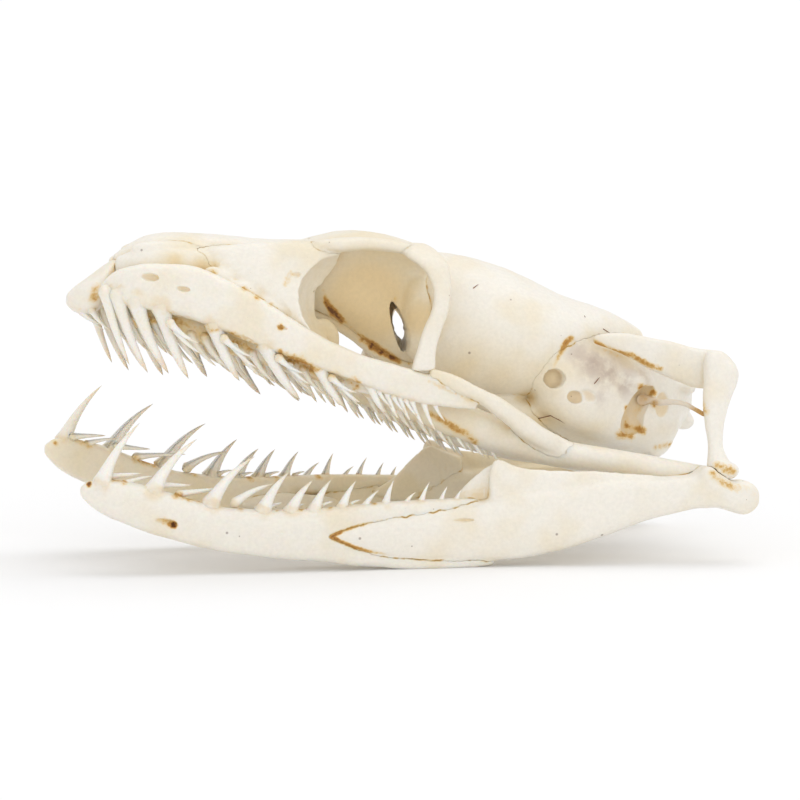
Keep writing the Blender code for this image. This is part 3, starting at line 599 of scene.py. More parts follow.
# upper jaw and palate on the left
maxilla = {
    "bodies": [
        ([(-60, -6.6, 1, 51.2, 53.8, 0), (-57.5, -8, 1.9, 50, 56.2, 0.3),
          (-54, -9.4, 2.3, 49.2, 57.3, 0.5), (-49, -10.8, 2.4, 48.2, 57.5, 0.7),
          (-42, -12.6, 2.5, 46, 56.6, 1.1), (-35, -14.4, 2.6, 43, 53.1, 1.1),
          (-28, -16.2, 2.6, 40, 48.6, 1), (-20.5, -17.8, 2.5, 37, 43.5, 0.7),
          (-13, -19, 2.3, 34, 39.8, 0.4), (-3, -19.7, 2, 30.4, 36.6, 0), (5, -19.5, 1.6, 29, 34, 0),
          (10, -19.2, 0.8, 28.4, 31.4, 0)], blade, "X"),
        ([(-58, -6.4, 0.9, 49.6, 52.6), (-55, -7, 1.2, 47.2, 52), (-51, -7.8, 1.3, 45.2, 50.8),
          (-46, -8.8, 1.4, 43.2, 49.4), (-41, -9.8, 1.4, 41.6, 47.6), (-35, -11.4, 1.4, 39.6, 45.4),
          (-28, -13.2, 1.3, 37, 42.4), (-20, -15, 1.2, 34.4, 39.2), (-13, -16.6, 1, 32.2, 36.2),
          (-8, -17.6, 0.6, 31.4, 33.8)], oval, "X")],
    "scoops": [((-52, -12.4, 55.1), (2.1, 1.1, 0.9), 10), ((-45.9, -14.4, 52.7), (1.6, 1.1, 0.7), 10),
        ((-27.8, -18.9, 45.1), (1.2, 0.8, 0.5), 20), ((-45, -15.6, 44.6), (3.6, 1.9, 2.4), 22),
        ((-35.3, -17.3, 41.4), (3.5, 1.9, 2.3), 24), ((-25.2, -18.9, 37.2), (3.6, 1.9, 2.2), 24),
        ((-15.9, -20.9, 33.2), (3.6, 1.9, 2.2), 22), ((-8.3, -21.6, 31), (1.8, 1.3, 1.2), 20),
        ((-56, -11.6, 49.8), (1, 1.2, 1.4)), ((-51.8, -13.4, 48.6), (1.1, 1.2, 1.4))],
    "meets": ["premaxilla", "septomaxilla_left", "prefrontal_left", "postorbital_left"],
    "taper": 0.52,
    "teeth": [(-59.4, -8.2, 52.4, 4.2, -14, -0.4, 1), (-57.4, -8.9, 52, 5.6, -15.2, -0.4, 1.2),
        (-54, -10, 50.8, 6, -14.2, -0.5, 1.4), (-49.4, -11.4, 49.4, 4.9, -13.8, -0.5, 1.45),
        (-39.8, -14, 46, 4.6, -11, -0.4, 1.4), (-30.4, -16.2, 42, 6.4, -10.8, -0.4, 1.35),
        (-20.6, -17.9, 38, 4.8, -8.4, -0.4, 1.2), (-11, -19.2, 34.2, 2.9, -6, -0.3, 0.9),
        (-7.9, -19.4, 32.6, 2.4, -5.6, -0.3, 0.65), (-5.4, -19.5, 31.8, 2.2, -5.2, -0.2, 0.6),
        (-3, -19.6, 30.8, 2.4, -5.2, -0.2, 0.55), (-0.6, -19.6, 30.2, 2.3, -5.6, -0.2, 0.5)],
    "spares": [(-56, -8, 49.4, 4.4, -7.6, -0.2, 0.7), (-52.4, -8.6, 47.6, 4.6, -7.2, -0.2, 0.75),
        (-50.4, -9, 46.6, 4.8, -6.8, -0.2, 0.7), (-46.8, -9.6, 45.4, 4.6, -6.6, -0.2, 0.75),
        (-43.6, -10.2, 44, 4.8, -6.2, -0.2, 0.7), (-41, -11, 43.4, 4.6, -6.2, -0.2, 0.7),
        (-35, -12.4, 41.4, 4.6, -5.8, -0.2, 0.7), (-32.4, -13.2, 40.2, 4.4, -5.8, -0.2, 0.65),
        (-25.6, -14.8, 38, 4.2, -5.2, -0.2, 0.6), (-23, -15.4, 37, 4, -5, -0.2, 0.6),
        (-16, -16.8, 34.4, 3.4, -4.4, -0.2, 0.5), (-48.3, -14.2, 46.3, 5.6, -4, -0.4, 0.6),
        (-47, -13.6, 44.8, 5, -4.6, -0.4, 0.55), (-38.4, -16, 43.2, 5.6, -3.7, -0.4, 0.6),
        (-36.4, -15.6, 41.6, 4.4, -4.2, -0.4, 0.55), (-28.3, -17.9, 39.3, 5.2, -3.2, -0.3, 0.6),
        (-26.2, -17.6, 37.8, 4.2, -3.8, -0.3, 0.5), (-18.5, -19.6, 35.3, 5, -3, -0.3, 0.55),
        (-16.6, -19.2, 33.8, 3.8, -3.4, -0.3, 0.5), (-9.4, -19.8, 32.6, 2.4, -3.2, -0.2, 0.4),
        (-6.6, -19.9, 31.6, 2.2, -3.2, -0.2, 0.4), (-4.2, -19.9, 30.8, 2.2, -3.2, -0.2, 0.4),
        (1.6, -19.6, 29.8, 2, -3.4, -0.2, 0.4)],
}
ectopterygoid = {
    "bodies": [([(0.5, -20.6, 1.1, 34.4, 36.8), (5, -20.6, 1.7, 32, 35.4), (10, -20, 2.1, 29.8, 33),
        (15, -19, 2.2, 26.2, 30.6), (20, -17.8, 2.2, 22.2, 27.4), (25, -16.8, 1.9, 19.4, 24),
        (29.5, -16.4, 1.1, 17.8, 21.8)], oval, "X")],
    "meets": ["postorbital_left"],
}
palatine = {
    "bodies": [
        ([(-47, -6.2, 0.7, 47.8, 49.4), (-42, -6.8, 1.5, 45.4, 48.8), (-35, -7.4, 1.9, 42.4, 46.4),
          (-28, -8, 1.9, 39, 43.4), (-21, -8.6, 1.9, 35.8, 40.4), (-15, -8.9, 1.6, 33.2, 38),
          (-11.4, -9.1, 0.9, 32.6, 35.8)], oval, "X"),
        ([(-7.6, -27.5, 1.4, 41, 42.4), (-11, -27.2, 1.1, 41.6, 43), (-14.6, -27, 1.4, 42.2, 44)], splint,
          "Y")],
    "meets": ["vomer_left", "prefrontal_left"],
    "teeth": [(-41.6, -6.9, 46.6, 3.4, -7.6, -0.2, 0.75), (-36.8, -7.3, 44.6, 3.4, -7.6, -0.2, 0.75),
        (-31.8, -7.8, 42.4, 3.4, -7.4, -0.2, 0.75), (-27, -8.2, 40.4, 3.2, -7.2, -0.2, 0.7),
        (-22.2, -8.6, 38, 3.2, -7, -0.2, 0.7), (-17.4, -8.9, 36, 3, -6.4, -0.2, 0.65)],
    "spares": [(-39.4, -8, 45.4, 3.2, -6, -0.6, 0.65), (-34.4, -8.6, 43.2, 3.2, -6, -0.6, 0.65),
        (-29.6, -9, 41.2, 3.2, -5.8, -0.6, 0.65), (-24.8, -9.4, 38.8, 3, -5.6, -0.6, 0.6),
        (-20, -9.8, 36.6, 3, -5.2, -0.6, 0.6), (-15, -9.9, 34.4, 2.8, -5, -0.6, 0.55),
        (-43.4, -7.2, 46.8, 3, -5.4, -0.6, 0.5), (-13.2, -9.2, 33.8, 2.6, -4.6, -0.2, 0.5)],
}
pterygoid = {
    "bodies": [([(-12, -8.8, 0.9, 32.6, 35.2), (-6, -9.8, 1.9, 29.2, 33.8), (1, -11.2, 2.6, 25.6, 32),
        (8, -12.2, 3, 22.6, 30.4), (15, -13, 3.3, 19.8, 27.2), (22, -13.8, 3.5, 17.8, 24.2),
        (28, -14.8, 3.6, 16.6, 22.2), (34, -16.4, 3.4, 15.6, 20.8), (40, -18.8, 3, 14.2, 19.6),
        (46, -21.4, 2.5, 13, 18.4), (52, -23.8, 1.9, 12.6, 17.2), (56, -25.2, 0.9, 12.8, 16.4)], oval,
        "X")],
    "meets": ["basisphenoid"],
    "teeth": [(-8.6, -9.2, 31.8, 2.8, -5.6, -0.2, 0.6), (-5, -9.6, 30.2, 2.6, -5.2, -0.2, 0.6),
        (-1.4, -10.1, 28.4, 2.6, -5, -0.2, 0.55), (2.2, -10.6, 26.8, 2.4, -4.8, -0.2, 0.55),
        (5.8, -11, 25, 2.4, -4.4, -0.2, 0.5), (9.4, -11.4, 23.6, 2.2, -4, -0.2, 0.5),
        (12.6, -11.8, 22.2, 2, -3.6, -0.2, 0.45)],
    "spares": [(-7, -10.6, 30.4, 2.6, -4.4, -0.5, 0.55), (-3.4, -11.2, 28.8, 2.6, -4.2, -0.5, 0.55),
        (0.4, -11.8, 27, 2.4, -4, -0.5, 0.5), (4, -12.2, 25.2, 2.4, -3.8, -0.5, 0.5),
        (7.6, -12.6, 23.8, 2.2, -3.4, -0.5, 0.45), (11, -12.8, 22.2, 2.2, -3.2, -0.4, 0.45),
        (14.4, -12.8, 20.8, 2, -3, -0.4, 0.45)],
}
growTogether({
    "maxilla_left": maxilla, "ectopterygoid_left": ectopterygoid, "palatine_left": palatine,
    "pterygoid_left": pterygoid},
    soften=7, reach=0.35, skin=0.28)

# what hangs from the back of the skull on the left
supratemporal = {
    "bodies": [([(36, -11.8, 0.8, 40.4, 41.8), (39, -12.4, 1.3, 39.2, 42.4), (43, -13.2, 1.7, 37.4, 42.2),
        (47, -14.8, 2, 34.9, 41.3), (51, -16.8, 2.2, 32.9, 40.3), (55, -18.8, 2.3, 31.2, 39.1),
        (58.5, -20.3, 1.9, 31.8, 38.6), (60.4, -21.3, 1.1, 33.2, 37.6)], blade, "X")],
    "meets": ["braincase_rear", "parietal"],
}
quadrate = {
    "bodies": [([(38.6, -22.6, 1, 55.6, 58.4), (36.6, -23, 1.8, 54.8, 60.6), (33.6, -23.5, 2, 54.4, 61.7),
        (29.3, -24.4, 1.6, 53.8, 59.6), (25.3, -25.2, 1.4, 53.8, 58), (21, -26.3, 1.3, 54, 57.2),
        (18.4, -27.1, 1.8, 53.6, 57.6), (16.2, -27.8, 2.4, 53.4, 58.6), (14.2, -28.2, 1.9, 54.6, 58.6)],
        oval, "Z")],
    "lumps": [((59.4, -23.6, 34.2), (2, 2.2, 2.6)), ((57.4, -28.4, 15.8), (2.1, 2.6, 1.6))],
}
growTogether({
    "supratemporal_left": supratemporal, "quadrate_left": quadrate},
    soften=6, reach=0.25, skin=0.27)

stapes = {
    "bodies": [([(-8.2, 46.8, 1.3, 27.6, 30.4), (-9.6, 48.4, 0.8, 28.1, 29.7), (-12, 49.3, 0.55, 28, 29.1),
        (-15, 50.8, 0.5, 28.2, 29.2), (-18, 52.4, 0.5, 27.9, 28.9), (-20, 53.4, 0.5, 27.1, 28.1),
        (-23.6, 54.3, 0.5, 26, 27)], splint, "Y")],
    "skin": 0.16,
    "meets": ["braincase_rear", "quadrate_left"],
}
growTogether({"stapes_left": stapes}, soften=2, reach=0.5, skin=0.16)

# left half of the lower jaw
dentary = {
    "bodies": [
        ([(-65.9, -13.8, 0.8, 15, 16.8), (-63.6, -14.3, 1.8, 12.8, 18.2), (-60, -15.2, 2.3, 10.6, 18.2),
          (-53, -16.4, 2.6, 7.8, 16.8), (-46, -17.4, 2.6, 5.6, 14.4), (-38, -18.3, 2.7, 3.7, 12.5),
          (-28, -19.3, 2.8, 2.5, 11.8), (-18.5, -20, 2.6, 1.5, 12.1), (-14, -20.4, 1.7, 2, 11),
          (-11.6, -20.6, 0.8, 5, 8.4)], blade, "X"),
        ([(-22, -19.7, 2.5, 7, 11.9), (-15, -20.2, 2.3, 8, 12.5), (-8, -20.6, 2.1, 9, 12.9),
          (0, -21, 1.9, 10, 13.1), (6, -21.3, 1.5, 11, 13.2), (9.6, -21.6, 0.8, 11.6, 13.1)], blade, "X"),
        ([(-22, -19.8, 2.4, 1.9, 6.4), (-15, -20.4, 2.1, 0.9, 4.8), (-9, -20.8, 1.8, 0.2, 3.3),
          (-2, -21.3, 1.6, -0.3, 2.2), (6, -22, 1.4, -0.3, 1.9), (12.5, -22.8, 0.8, 0.3, 1.8)], oval, "X")],
    "scoops": [((-49.2, -20.1, 9.8), (0.75, 1.3, 0.6), 10), ((-51.4, -19.6, 10.5), (2.3, 0.8, 0.6), 8),
        ((-64.8, -15.9, 17.6), (0.35, 0.7, 0.35)), ((-58.2, -13.6, 18.8), (2.2, 1.4, 1), 12),
        ((-49.6, -15, 17), (2.6, 1.5, 1.1), 14), ((-39, -16.6, 13.8), (2.2, 1.5, 1), 6)],
    "taper": 0.86,
    "teeth": [(-62, -15, 17.6, 7.3, 11.2, -0.4, 1.3), (-52.6, -16.7, 15.8, 8.5, 9.8, -0.4, 1.4),
        (-41.8, -18, 13.2, 8.5, 8.9, -0.4, 1.35), (-31.9, -19, 11.6, 5.2, 7.6, -0.4, 1.3),
        (-26.6, -19.5, 11.4, 4.4, 6.1, -0.3, 1.2), (-22.2, -19.9, 11.4, 3.4, 6.1, -0.3, 1.15),
        (-16.8, -20.2, 11.8, 2.8, 5.4, -0.3, 0.95), (-12.8, -20.4, 11.4, 3.2, 3.8, -0.3, 0.75),
        (-8.4, -20.7, 12.2, 1.6, 4.9, -0.3, 0.8), (-4.6, -20.9, 12.2, 2.1, 2.4, -0.2, 0.55),
        (-1.5, -21.1, 12.5, 1.7, 4, -0.2, 0.6), (2.4, -21.2, 12.6, 1.3, 3, -0.2, 0.5),
        (5.4, -21.3, 12.7, 1, 2.2, -0.2, 0.45)],
    "spares": [(-60.5, -13.9, 18.5, 6.6, 0.4, 0, 0.6), (-57.6, -14.4, 17.2, 6, 1.2, 0, 0.5),
        (-51.5, -15.4, 17, 6.8, -0.4, 0, 0.6), (-47.5, -16, 15, 10, 0.8, 0, 0.6),
        (-37, -17.4, 13.2, 8, 3.4, 0, 0.75), (-30.4, -18, 12.2, 2.6, 0.8, 0, 0.4),
        (-26, -18.4, 11.9, 2.6, 0.8, 0, 0.4), (-20.6, -18.8, 12.2, 2.6, 0.8, 0, 0.4),
        (-15, -19.3, 12.4, 2.2, 0.8, 0, 0.35)],
}
compound = {
    "bodies": [
        ([(-19.8, -21.9, 0.5, 6.5, 7.1), (-17.6, -21.8, 1, 5.6, 7.8), (-14, -21.4, 1.6, 4.2, 8.7),
          (-8, -21.2, 2.2, 2.4, 9.8), (0, -21.3, 2.5, 1.5, 10.9), (8, -21.9, 2.7, 1.2, 12.2),
          (16, -23, 2.8, 1.2, 14), (24, -24.2, 2.9, 2.6, 15), (33, -25.6, 2.9, 5.2, 16.2),
          (40, -26.6, 2.9, 7.8, 16.6), (46, -27.4, 3, 9.5, 16.8), (50.4, -28, 3.3, 10.5, 17.2),
          (52.8, -28.4, 3.8, 10.6, 19), (55, -28.7, 4.3, 10.7, 17.8), (57.8, -29.1, 4, 9.8, 16),
          (60.3, -29.6, 3.2, 9.2, 16), (62, -30, 2.4, 10, 15.2), (63.1, -30.2, 1.2, 11.2, 13.8)], blade,
          "X"),
        ([(11.6, -22.3, 0.7, 10, 17), (13, -22.5, 0.9, 10, 20.8), (19, -23.5, 1, 10, 19),
          (33, -25.6, 1.3, 11, 18), (46, -27.4, 1.2, 13.4, 16.9)], splint, "X")],
    "lumps": [((53, -30.2, 16.6), (2, 2.2, 2.4)), ((60.5, -30.6, 13), (1.8, 2, 2.1)),
        ((60.6, -29, 14.4), (1.5, 2, 1.3))],
    "scoops": [((5.6, -24.7, 9.3), (2.6, 1, 0.5), 0)],
}
coronoid = {
    "bodies": [([(1, -18.4, 0.6, 8.8, 10.2), (5, -18.7, 0.8, 8.2, 12.6), (9, -19.3, 0.9, 8, 16.8),
        (12.5, -20.3, 0.9, 8.8, 19.4), (16, -21.3, 0.9, 10.2, 18.6), (20, -22.3, 0.6, 13.6, 17.4)], splint,
        "X")],
}
splenial = {
    "bodies": [([(-26, -16.3, 0.6, 6, 7.4), (-20, -16.6, 0.9, 4.6, 8.6), (-14, -17.2, 1, 3.6, 9),
        (-8, -17.7, 0.9, 3.8, 8.4), (-3, -18.2, 0.6, 4.8, 7)], splint, "X")],
}
growTogether({
    "compound_left": compound, "dentary_left": dentary, "coronoid_left": coronoid,
    "splenial_left": splenial},
    soften=6, reach=0.2, skin=0.29)


# mirror the left side and set every bone in its place
jawBones = ("dentary", "compound", "coronoid", "splenial")
# the far optic slit lies further back than the near one, so that light shows through both
farSlit = {"centre": (2.1, -6.0, 43.0), "radii": (1.8, 5.0), "depth": 12.0, "turn": -16.0}
pivot = Matrix.Translation(Vector(layout["jawPivot"]))
jawPlace = (Matrix.Translation(Vector(layout["jawShift"])) @ pivot
            @ Matrix.Rotation(math.radians(layout["jawYaw"]), 4, "Z")
            @ Matrix.Rotation(math.radians(layout["jawPitch"]), 4, "Y")
            @ Matrix.Rotation(math.radians(layout["jawLean"]), 4, "X") @ pivot.inverted())
middle = Matrix.Translation(Vector(layout["rollPivot"]))
skullPlace = middle @ Matrix.Rotation(math.radians(layout["roll"]), 4, "X") @ middle.inverted()
placeOf = {name: Matrix() for name in bones}


# the bone's name without its side
def kindOf(name):
    return name.rsplit("_", 1)[0]


def moveTo(name, matrix):
    mesh = bones[name].data
    mesh.transform(matrix)
    placeOf[name] = matrix
    if matrix.determinant() < 0:
        mesh.flip_normals()
    teethOf[name] = [[(matrix @ centre, radius) for centre, radius in path] for path in teethOf[name]]


for name in [name for name in bones if name.endswith("_left")]:
    right = name.replace("_left", "_right")
    bones[right] = addObject(right, bones[name].data.copy())
    teethOf[right] = teethOf[name]
    if right == "frontal_right":
        cutWith(bones[right], lambda bm: pin(bm, **farSlit))
    moveTo(right, (jawPlace if kindOf(name) in jawBones else skullPlace) @ mirror)
for name in bones:
    if kindOf(name) not in jawBones and not name.endswith("_right"):
        moveTo(name, skullPlace)
# the hinge and the palate rest against the lower jaw
for side in ("_left", "_right"):
    for name in ("quadrate" + side, "pterygoid" + side):
        combine(bones[name], swollen(bones["compound" + side], making["gap"]))
        keepLargest(bones[name])
    combine(bones["pterygoid" + side], swollen(bones["quadrate" + side], making["gap"]))
    keepLargest(bones["pterygoid" + side])
# the two jaws stand on small flats
for name, thing in bones.items():
    if kindOf(name) in jawBones and readPoints(thing.data)[:, 2].min() < 0.0:
        cutWith(thing, lambda bm: block(bm, (0, 0, -1)))
print("bones in place", len(bones))


# crevices, seams, sockets, stains and crowded places become masks that the finishes read; crevices and
# crowded places get painted shade
stainsAndShade = {
    "seamReach": 1.3,
    # the hollow mask paints shade into crevices
    "hollowTimes": 14,
    "hollowMix": (0.3, 0.7),    # shares of a point and of its neighbours
    "hollowDepth": 0.22,
    "toothMargin": 3.0,      # how far round a tooth its bone is searched
    "toothSkin": 0.1,        # skin this near a tooth belongs to it
    "socketReach": 1.2,
    # the count of bone near the skin marks crowded places, where shade and yellowing are painted
    "crowdStep": 1.0,        # spacing of the grid that counts bone
    "crowdMargin": 8.0,
    "crowdBlurs": 9,
    "crowdAhead": 2.6,       # looked for this far out from the skin
    "crowdScale": 17.0,
    "sight": (0.257, 0.954, -0.172),    # the way the camera looks, in the drawing
    "depthCounts": 0.03,
    "strokeGap": 4.2,        # stains nearer than this run together
    "strokeReach": 6.0,
    "strongest": 1.5,
    "innerWarmth": 0.62,     # the yellow and painted shade of inner faces, and how it sets in
    "innerSlope": (1.6, 0.1),
    "palateEnd": 14.0,       # the palate's yellow and painted shade fade out towards the back
    "palateFade": 10.0,
    # spots read (x, y, z, radius, strength) on the left of the drawing
    "skullStains": [
        # front of the snout, the seam above the upper jaw, the pits before the eye
        (-61, -4, 51, 1.4, 0.7), (-60.5, -4, 53, 1.4, 0.7), (-64, -4, 48.5, 1.4, 0.6),
        (-39, -11.5, 55.5, 1, 0.7), (-33.5, -12.5, 52, 1, 0.9), (-31, -12.5, 50, 1, 1),
        (-28.5, -12.5, 48.5, 1, 1), (-25.5, -12.5, 46, 1, 1), (-23, -12.5, 44, 1, 0.8),
        (-26, -14.5, 53, 1, 0.6), (-25, -14.5, 55, 1, 0.6),
        # the orange band across the eye socket and its roof
        (-15.6, -3, 51.4, 0.5, 0.9), (-15.2, -3, 49.3, 0.8, 1.2), (-13.9, -3, 47.5, 0.9, 1.3),
        (-12.3, -3, 45.9, 0.8, 1.2), (-10.5, -3, 44.5, 0.5, 0.8), (-8.2, -3, 42.3, 0.8, 1.2),
        (-6.3, -3, 41, 0.9, 1.5), (-4.4, -3, 39.7, 0.9, 1.5), (-2.6, -3, 38.7, 0.8, 1.4),
        (-0.9, -3.5, 37.8, 0.7, 1.2), (1, -3.5, 37.3, 0.5, 0.9), (-15, -10.5, 58.5, 1.5, 0.5),
        (-16.5, -10.5, 53.5, 1.3, 0.5), (-2.5, -7, 50, 0.7, 0.7),
        # back edge of the roof, under the temple bar, round the ear opening, the neck joint
        (27.5, -12.5, 36, 0.7, 0.5), (29.5, -12, 39.5, 0.8, 0.9), (30.5, -12, 41, 0.8, 1),
        (31.5, -11.5, 41.5, 0.8, 0.9), (35.5, -13, 41, 0.7, 0.9), (38, -13, 39.5, 0.7, 0.9),
        (40.5, -13.5, 38.5, 0.7, 0.9), (43, -14, 38, 0.7, 0.9), (46, -14.5, 36, 0.7, 0.9),
        (48.5, -15, 35, 0.7, 0.9), (46, -10.5, 31.5, 1, 1), (48.5, -10, 30.5, 1, 1),
        (43, -10.5, 27.5, 0.9, 1), (43.2, -10, 24.5, 1, 1.2), (46.5, -10, 23, 1, 1),
        (49, -9.5, 28, 0.9, 0.8), (41.5, -10.5, 22.6, 1.2, 0.8), (44, -10.5, 22.2, 1.2, 0.8),
        (47, -9, 29.6, 1.4, 0.5), (45.2, -9, 26.6, 1.4, 0.5), (53.5, -6, 20, 0.9, 0.7),
        (50, -6.5, 19.5, 0.8, 0.7),
        # the bays over the replacement teeth
        (-48.5, -14, 48.3, 0.9, 0.65), (-46, -14, 47.3, 0.9, 0.65), (-44, -14, 46.5, 0.9, 0.65),
        (-42, -14, 45.3, 0.9, 0.65), (-38.5, -15.5, 44.3, 0.9, 0.65), (-34.5, -15.5, 43.1, 1, 0.65),
        (-32, -16, 41.5, 1, 0.65), (-28, -17.5, 40.3, 0.9, 0.75), (-25, -17.5, 39.1, 1, 0.75),
        (-22.5, -18, 37.3, 1.1, 0.95), (-19, -19.5, 35.8, 0.9, 0.65), (-16, -19.5, 34.8, 1, 0.65),
        (-13.5, -19.5, 33.9, 1.1, 0.85), (-15, -19.5, 32.9, 1, 0.55), (-9.5, -20.5, 31.8, 0.9, 0.25),
        (-6.5, -20.5, 30.3, 0.9, 0.25), (-28, -18.5, 45, 0.8, 1), (-52, -12, 55, 1.3, 0.3),
        (-46, -14, 52.6, 1.1, 0.25),
        # gum left on the inner wall of the tooth row and on the palate
        (-56, -8, 49.6, 1.3, 0.66), (-52.4, -9, 48.4, 1.3, 0.66), (-51, -9, 46.6, 1.5, 0.66),
        (-47, -10, 47, 1.5, 0.66), (-43.6, -10.5, 45.2, 1.7, 0.66), (-40.6, -11, 44, 1.5, 0.6),
        (-36, -12.5, 42.6, 1.6, 0.66), (-32.6, -13, 41.2, 1.6, 0.66), (-26.4, -14.5, 39.2, 1.5, 0.66),
        (-23.2, -15, 38, 1.5, 0.66), (-16.4, -16.5, 35.2, 1.3, 0.6), (-13.4, -16.5, 34.2, 1.2, 0.7),
        (-32, -8.5, 42, 2, 0.6), (-22, -9.5, 37.4, 2, 0.6), (-12, -10, 33, 2, 0.6),
        (-2, -11.5, 29.4, 1.6, 0.7),
        # slot beside the outer palate bar and the toothed plate below it
        (0.5, -20, 34, 0.7, 0.6), (3, -20.5, 32.8, 0.7, 0.6), (5.5, -20.5, 31.6, 0.7, 0.6),
        (8.5, -20.5, 30.4, 0.7, 0.6), (2.5, -13, 27.5, 1, 0.7), (4.5, -13.5, 26.5, 1, 0.8),
        (7.5, -14, 24.5, 1, 0.9), (9.5, -14, 23.5, 1, 0.8), (11, -14, 22, 1, 0.8),
        # outer end of the ear rod, foot of the jaw hinge
        (53.9, -22, 26.8, 2, 0.9), (55, -29, 16.8, 1.3, 0.7), (57.6, -30, 15.6, 1.3, 0.7)],
    "jawStains": [
        (-59.5, -14.5, 18, 1.1, 0.8), (-57.5, -14.5, 17.4, 1.1, 0.8), (-48, -16.5, 14.8, 1.1, 0.9),
        (-45.5, -16.5, 14.2, 1.1, 0.9), (-43.5, -16.5, 13.8, 1.1, 0.9), (-36, -18.5, 12.4, 1, 0.8),
        (-29, -19, 12.2, 1, 0.8), (-24.5, -19.2, 12, 1, 0.9), (-19, -19.6, 12, 1, 0.8),
        (-10.5, -20, 12.6, 1, 0.8), (-52, -19, 10.8, 1, 0.5), (-50.5, -19.4, 10.4, 1, 0.6),
        # the first two spots here paint shade into the nerve openings of the jaw
        (-49.4, -19.8, 9.8, 0.9, 1.5), (-64.6, -15.5, 17.5, 0.7, 1.5), (-9, -22.8, 9.8, 0.4, 0.5),
        (-12.2, -22.7, 9.2, 0.4, 0.7), (-15.2, -22.6, 8.5, 0.45, 0.8), (-17.6, -22.5, 7.7, 0.5, 1),
        (-19.4, -22.4, 6.8, 0.6, 1.2), (-17.4, -22.5, 5.7, 0.5, 1), (-15, -22.6, 4.6, 0.5, 1),
        (-12, -22.7, 3.7, 0.45, 0.8), (-8.4, -22.8, 3, 0.4, 0.5), (53.5, -31, 17.6, 1.2, 0.6),
        (55.4, -32, 15.8, 1.2, 0.7), (58, -32, 14.6, 1.2, 0.6), (61.6, -31.6, 15, 2.2, 0.3),
        (62, -31.6, 12.5, 2.2, 0.3)],
    "greySpots": [
        (33, -12, 38, 3.2, 0.7), (35.5, -13, 36.5, 3.2, 0.9), (38.5, -12.5, 34.5, 3.4, 0.9),
        (42, -11.5, 32.6, 3.2, 0.8), (45, -11, 33.5, 2.6, 0.7), (36.6, -12.4, 30, 2, 0.5)],
    # spots of yellowing and painted shade, mostly in the eye socket and over the palate
    "warmSpots": [
        (10.5, -13, 35.5, 8, 0.8), (16.5, -13, 33, 8, 0.8), (22.5, -13, 31.5, 7, 0.7),
        (25.5, -10, 25, 6, 0.9), (33.5, -10, 21, 5, 0.7), (-44, -6, 60, 4, 0.6), (-8, -6, 49, 12.5, 1.3),
        (-17, -7, 42.5, 5, 1.1), (2, -8, 46, 6, 1.1), (-56, -6, 48.5, 3.5, 1.4), (-51, -7, 46.5, 3.5, 1.4),
        (-46, -8, 44.5, 3.5, 1.4), (-41, -9, 43, 3.5, 1.4), (-35, -10.5, 41, 3.5, 1.4),
        (-28, -12, 38.5, 3.5, 1.4), (-20, -14, 35.5, 3.5, 1.2), (-46, -8.5, 58, 3, 0.9),
        (-41, -9.5, 57, 3, 0.9)],
}


def writeMask(mesh, name, values, most=1.0):
    layer = mesh.attributes.new(name, "FLOAT", "POINT")
    layer.data.foreach_set("value", np.clip(values, 0.0, most).astype(np.float32))


def spotMask(points, spots):
    total = np.zeros(len(points))
    for x, y, z, radius, strength in spots:
        away = ((points - (x, y, z)) ** 2).sum(axis=1)
        total = np.maximum(total, strength * np.exp(-away / radius ** 2))
    return total


# stains that follow one another closely run together, and depth along the sight counts for little
def strokeMask(points, spots):
    total = np.zeros(len(points))
    sight = np.array(stainsAndShade["sight"]) / np.linalg.norm(stainsAndShade["sight"])
    for i, spot in enumerate(spots):
        start, (radius, strength) = np.array(spot[:3]), spot[3:]
        after = spots[min(i + 1, len(spots) - 1)]
        step = np.array(after[:3]) - start
        joined = 0 < np.linalg.norm(step) < stainsAndShade["strokeGap"]
        middle = start + step * 0.5 * joined
        near = np.where(((points - middle) ** 2).sum(axis=1) < stainsAndShade["strokeReach"] ** 2)[0]
        if not len(near):
            continue
        offset = points[near] - start
        along = np.clip(offset @ step / (step @ step), 0, 1) if joined else np.zeros(len(near))
        offset -= along[:, None] * step
        depth = offset @ sight
        away = (offset ** 2).sum(axis=1) - depth ** 2 * (1 - stainsAndShade["depthCounts"])
        radius = radius + (after[3] - radius) * along
        strength = strength + (after[4] - strength) * along
        total[near] = np.maximum(total[near], strength * np.exp(-away / radius ** 2))
    return total


# how far the skin lies below the smoothed skin
def hollowMask(points, normals, edges):
    smooth = points.copy()
    own, shared = stainsAndShade["hollowMix"]
    counts = np.bincount(edges.ravel(), minlength=len(points)).astype(float)[:, None]
    for _ in range(stainsAndShade["hollowTimes"]):
        total = np.zeros_like(smooth)
        for axis in range(3):
            total[:, axis] = (np.bincount(edges[:, 0], smooth[edges[:, 1], axis], len(points))
                              + np.bincount(edges[:, 1], smooth[edges[:, 0], axis], len(points)))
        smooth = own * smooth + shared * total / np.maximum(counts, 1)
    return ((smooth - points) * normals).sum(axis=1) / stainsAndShade["hollowDepth"]


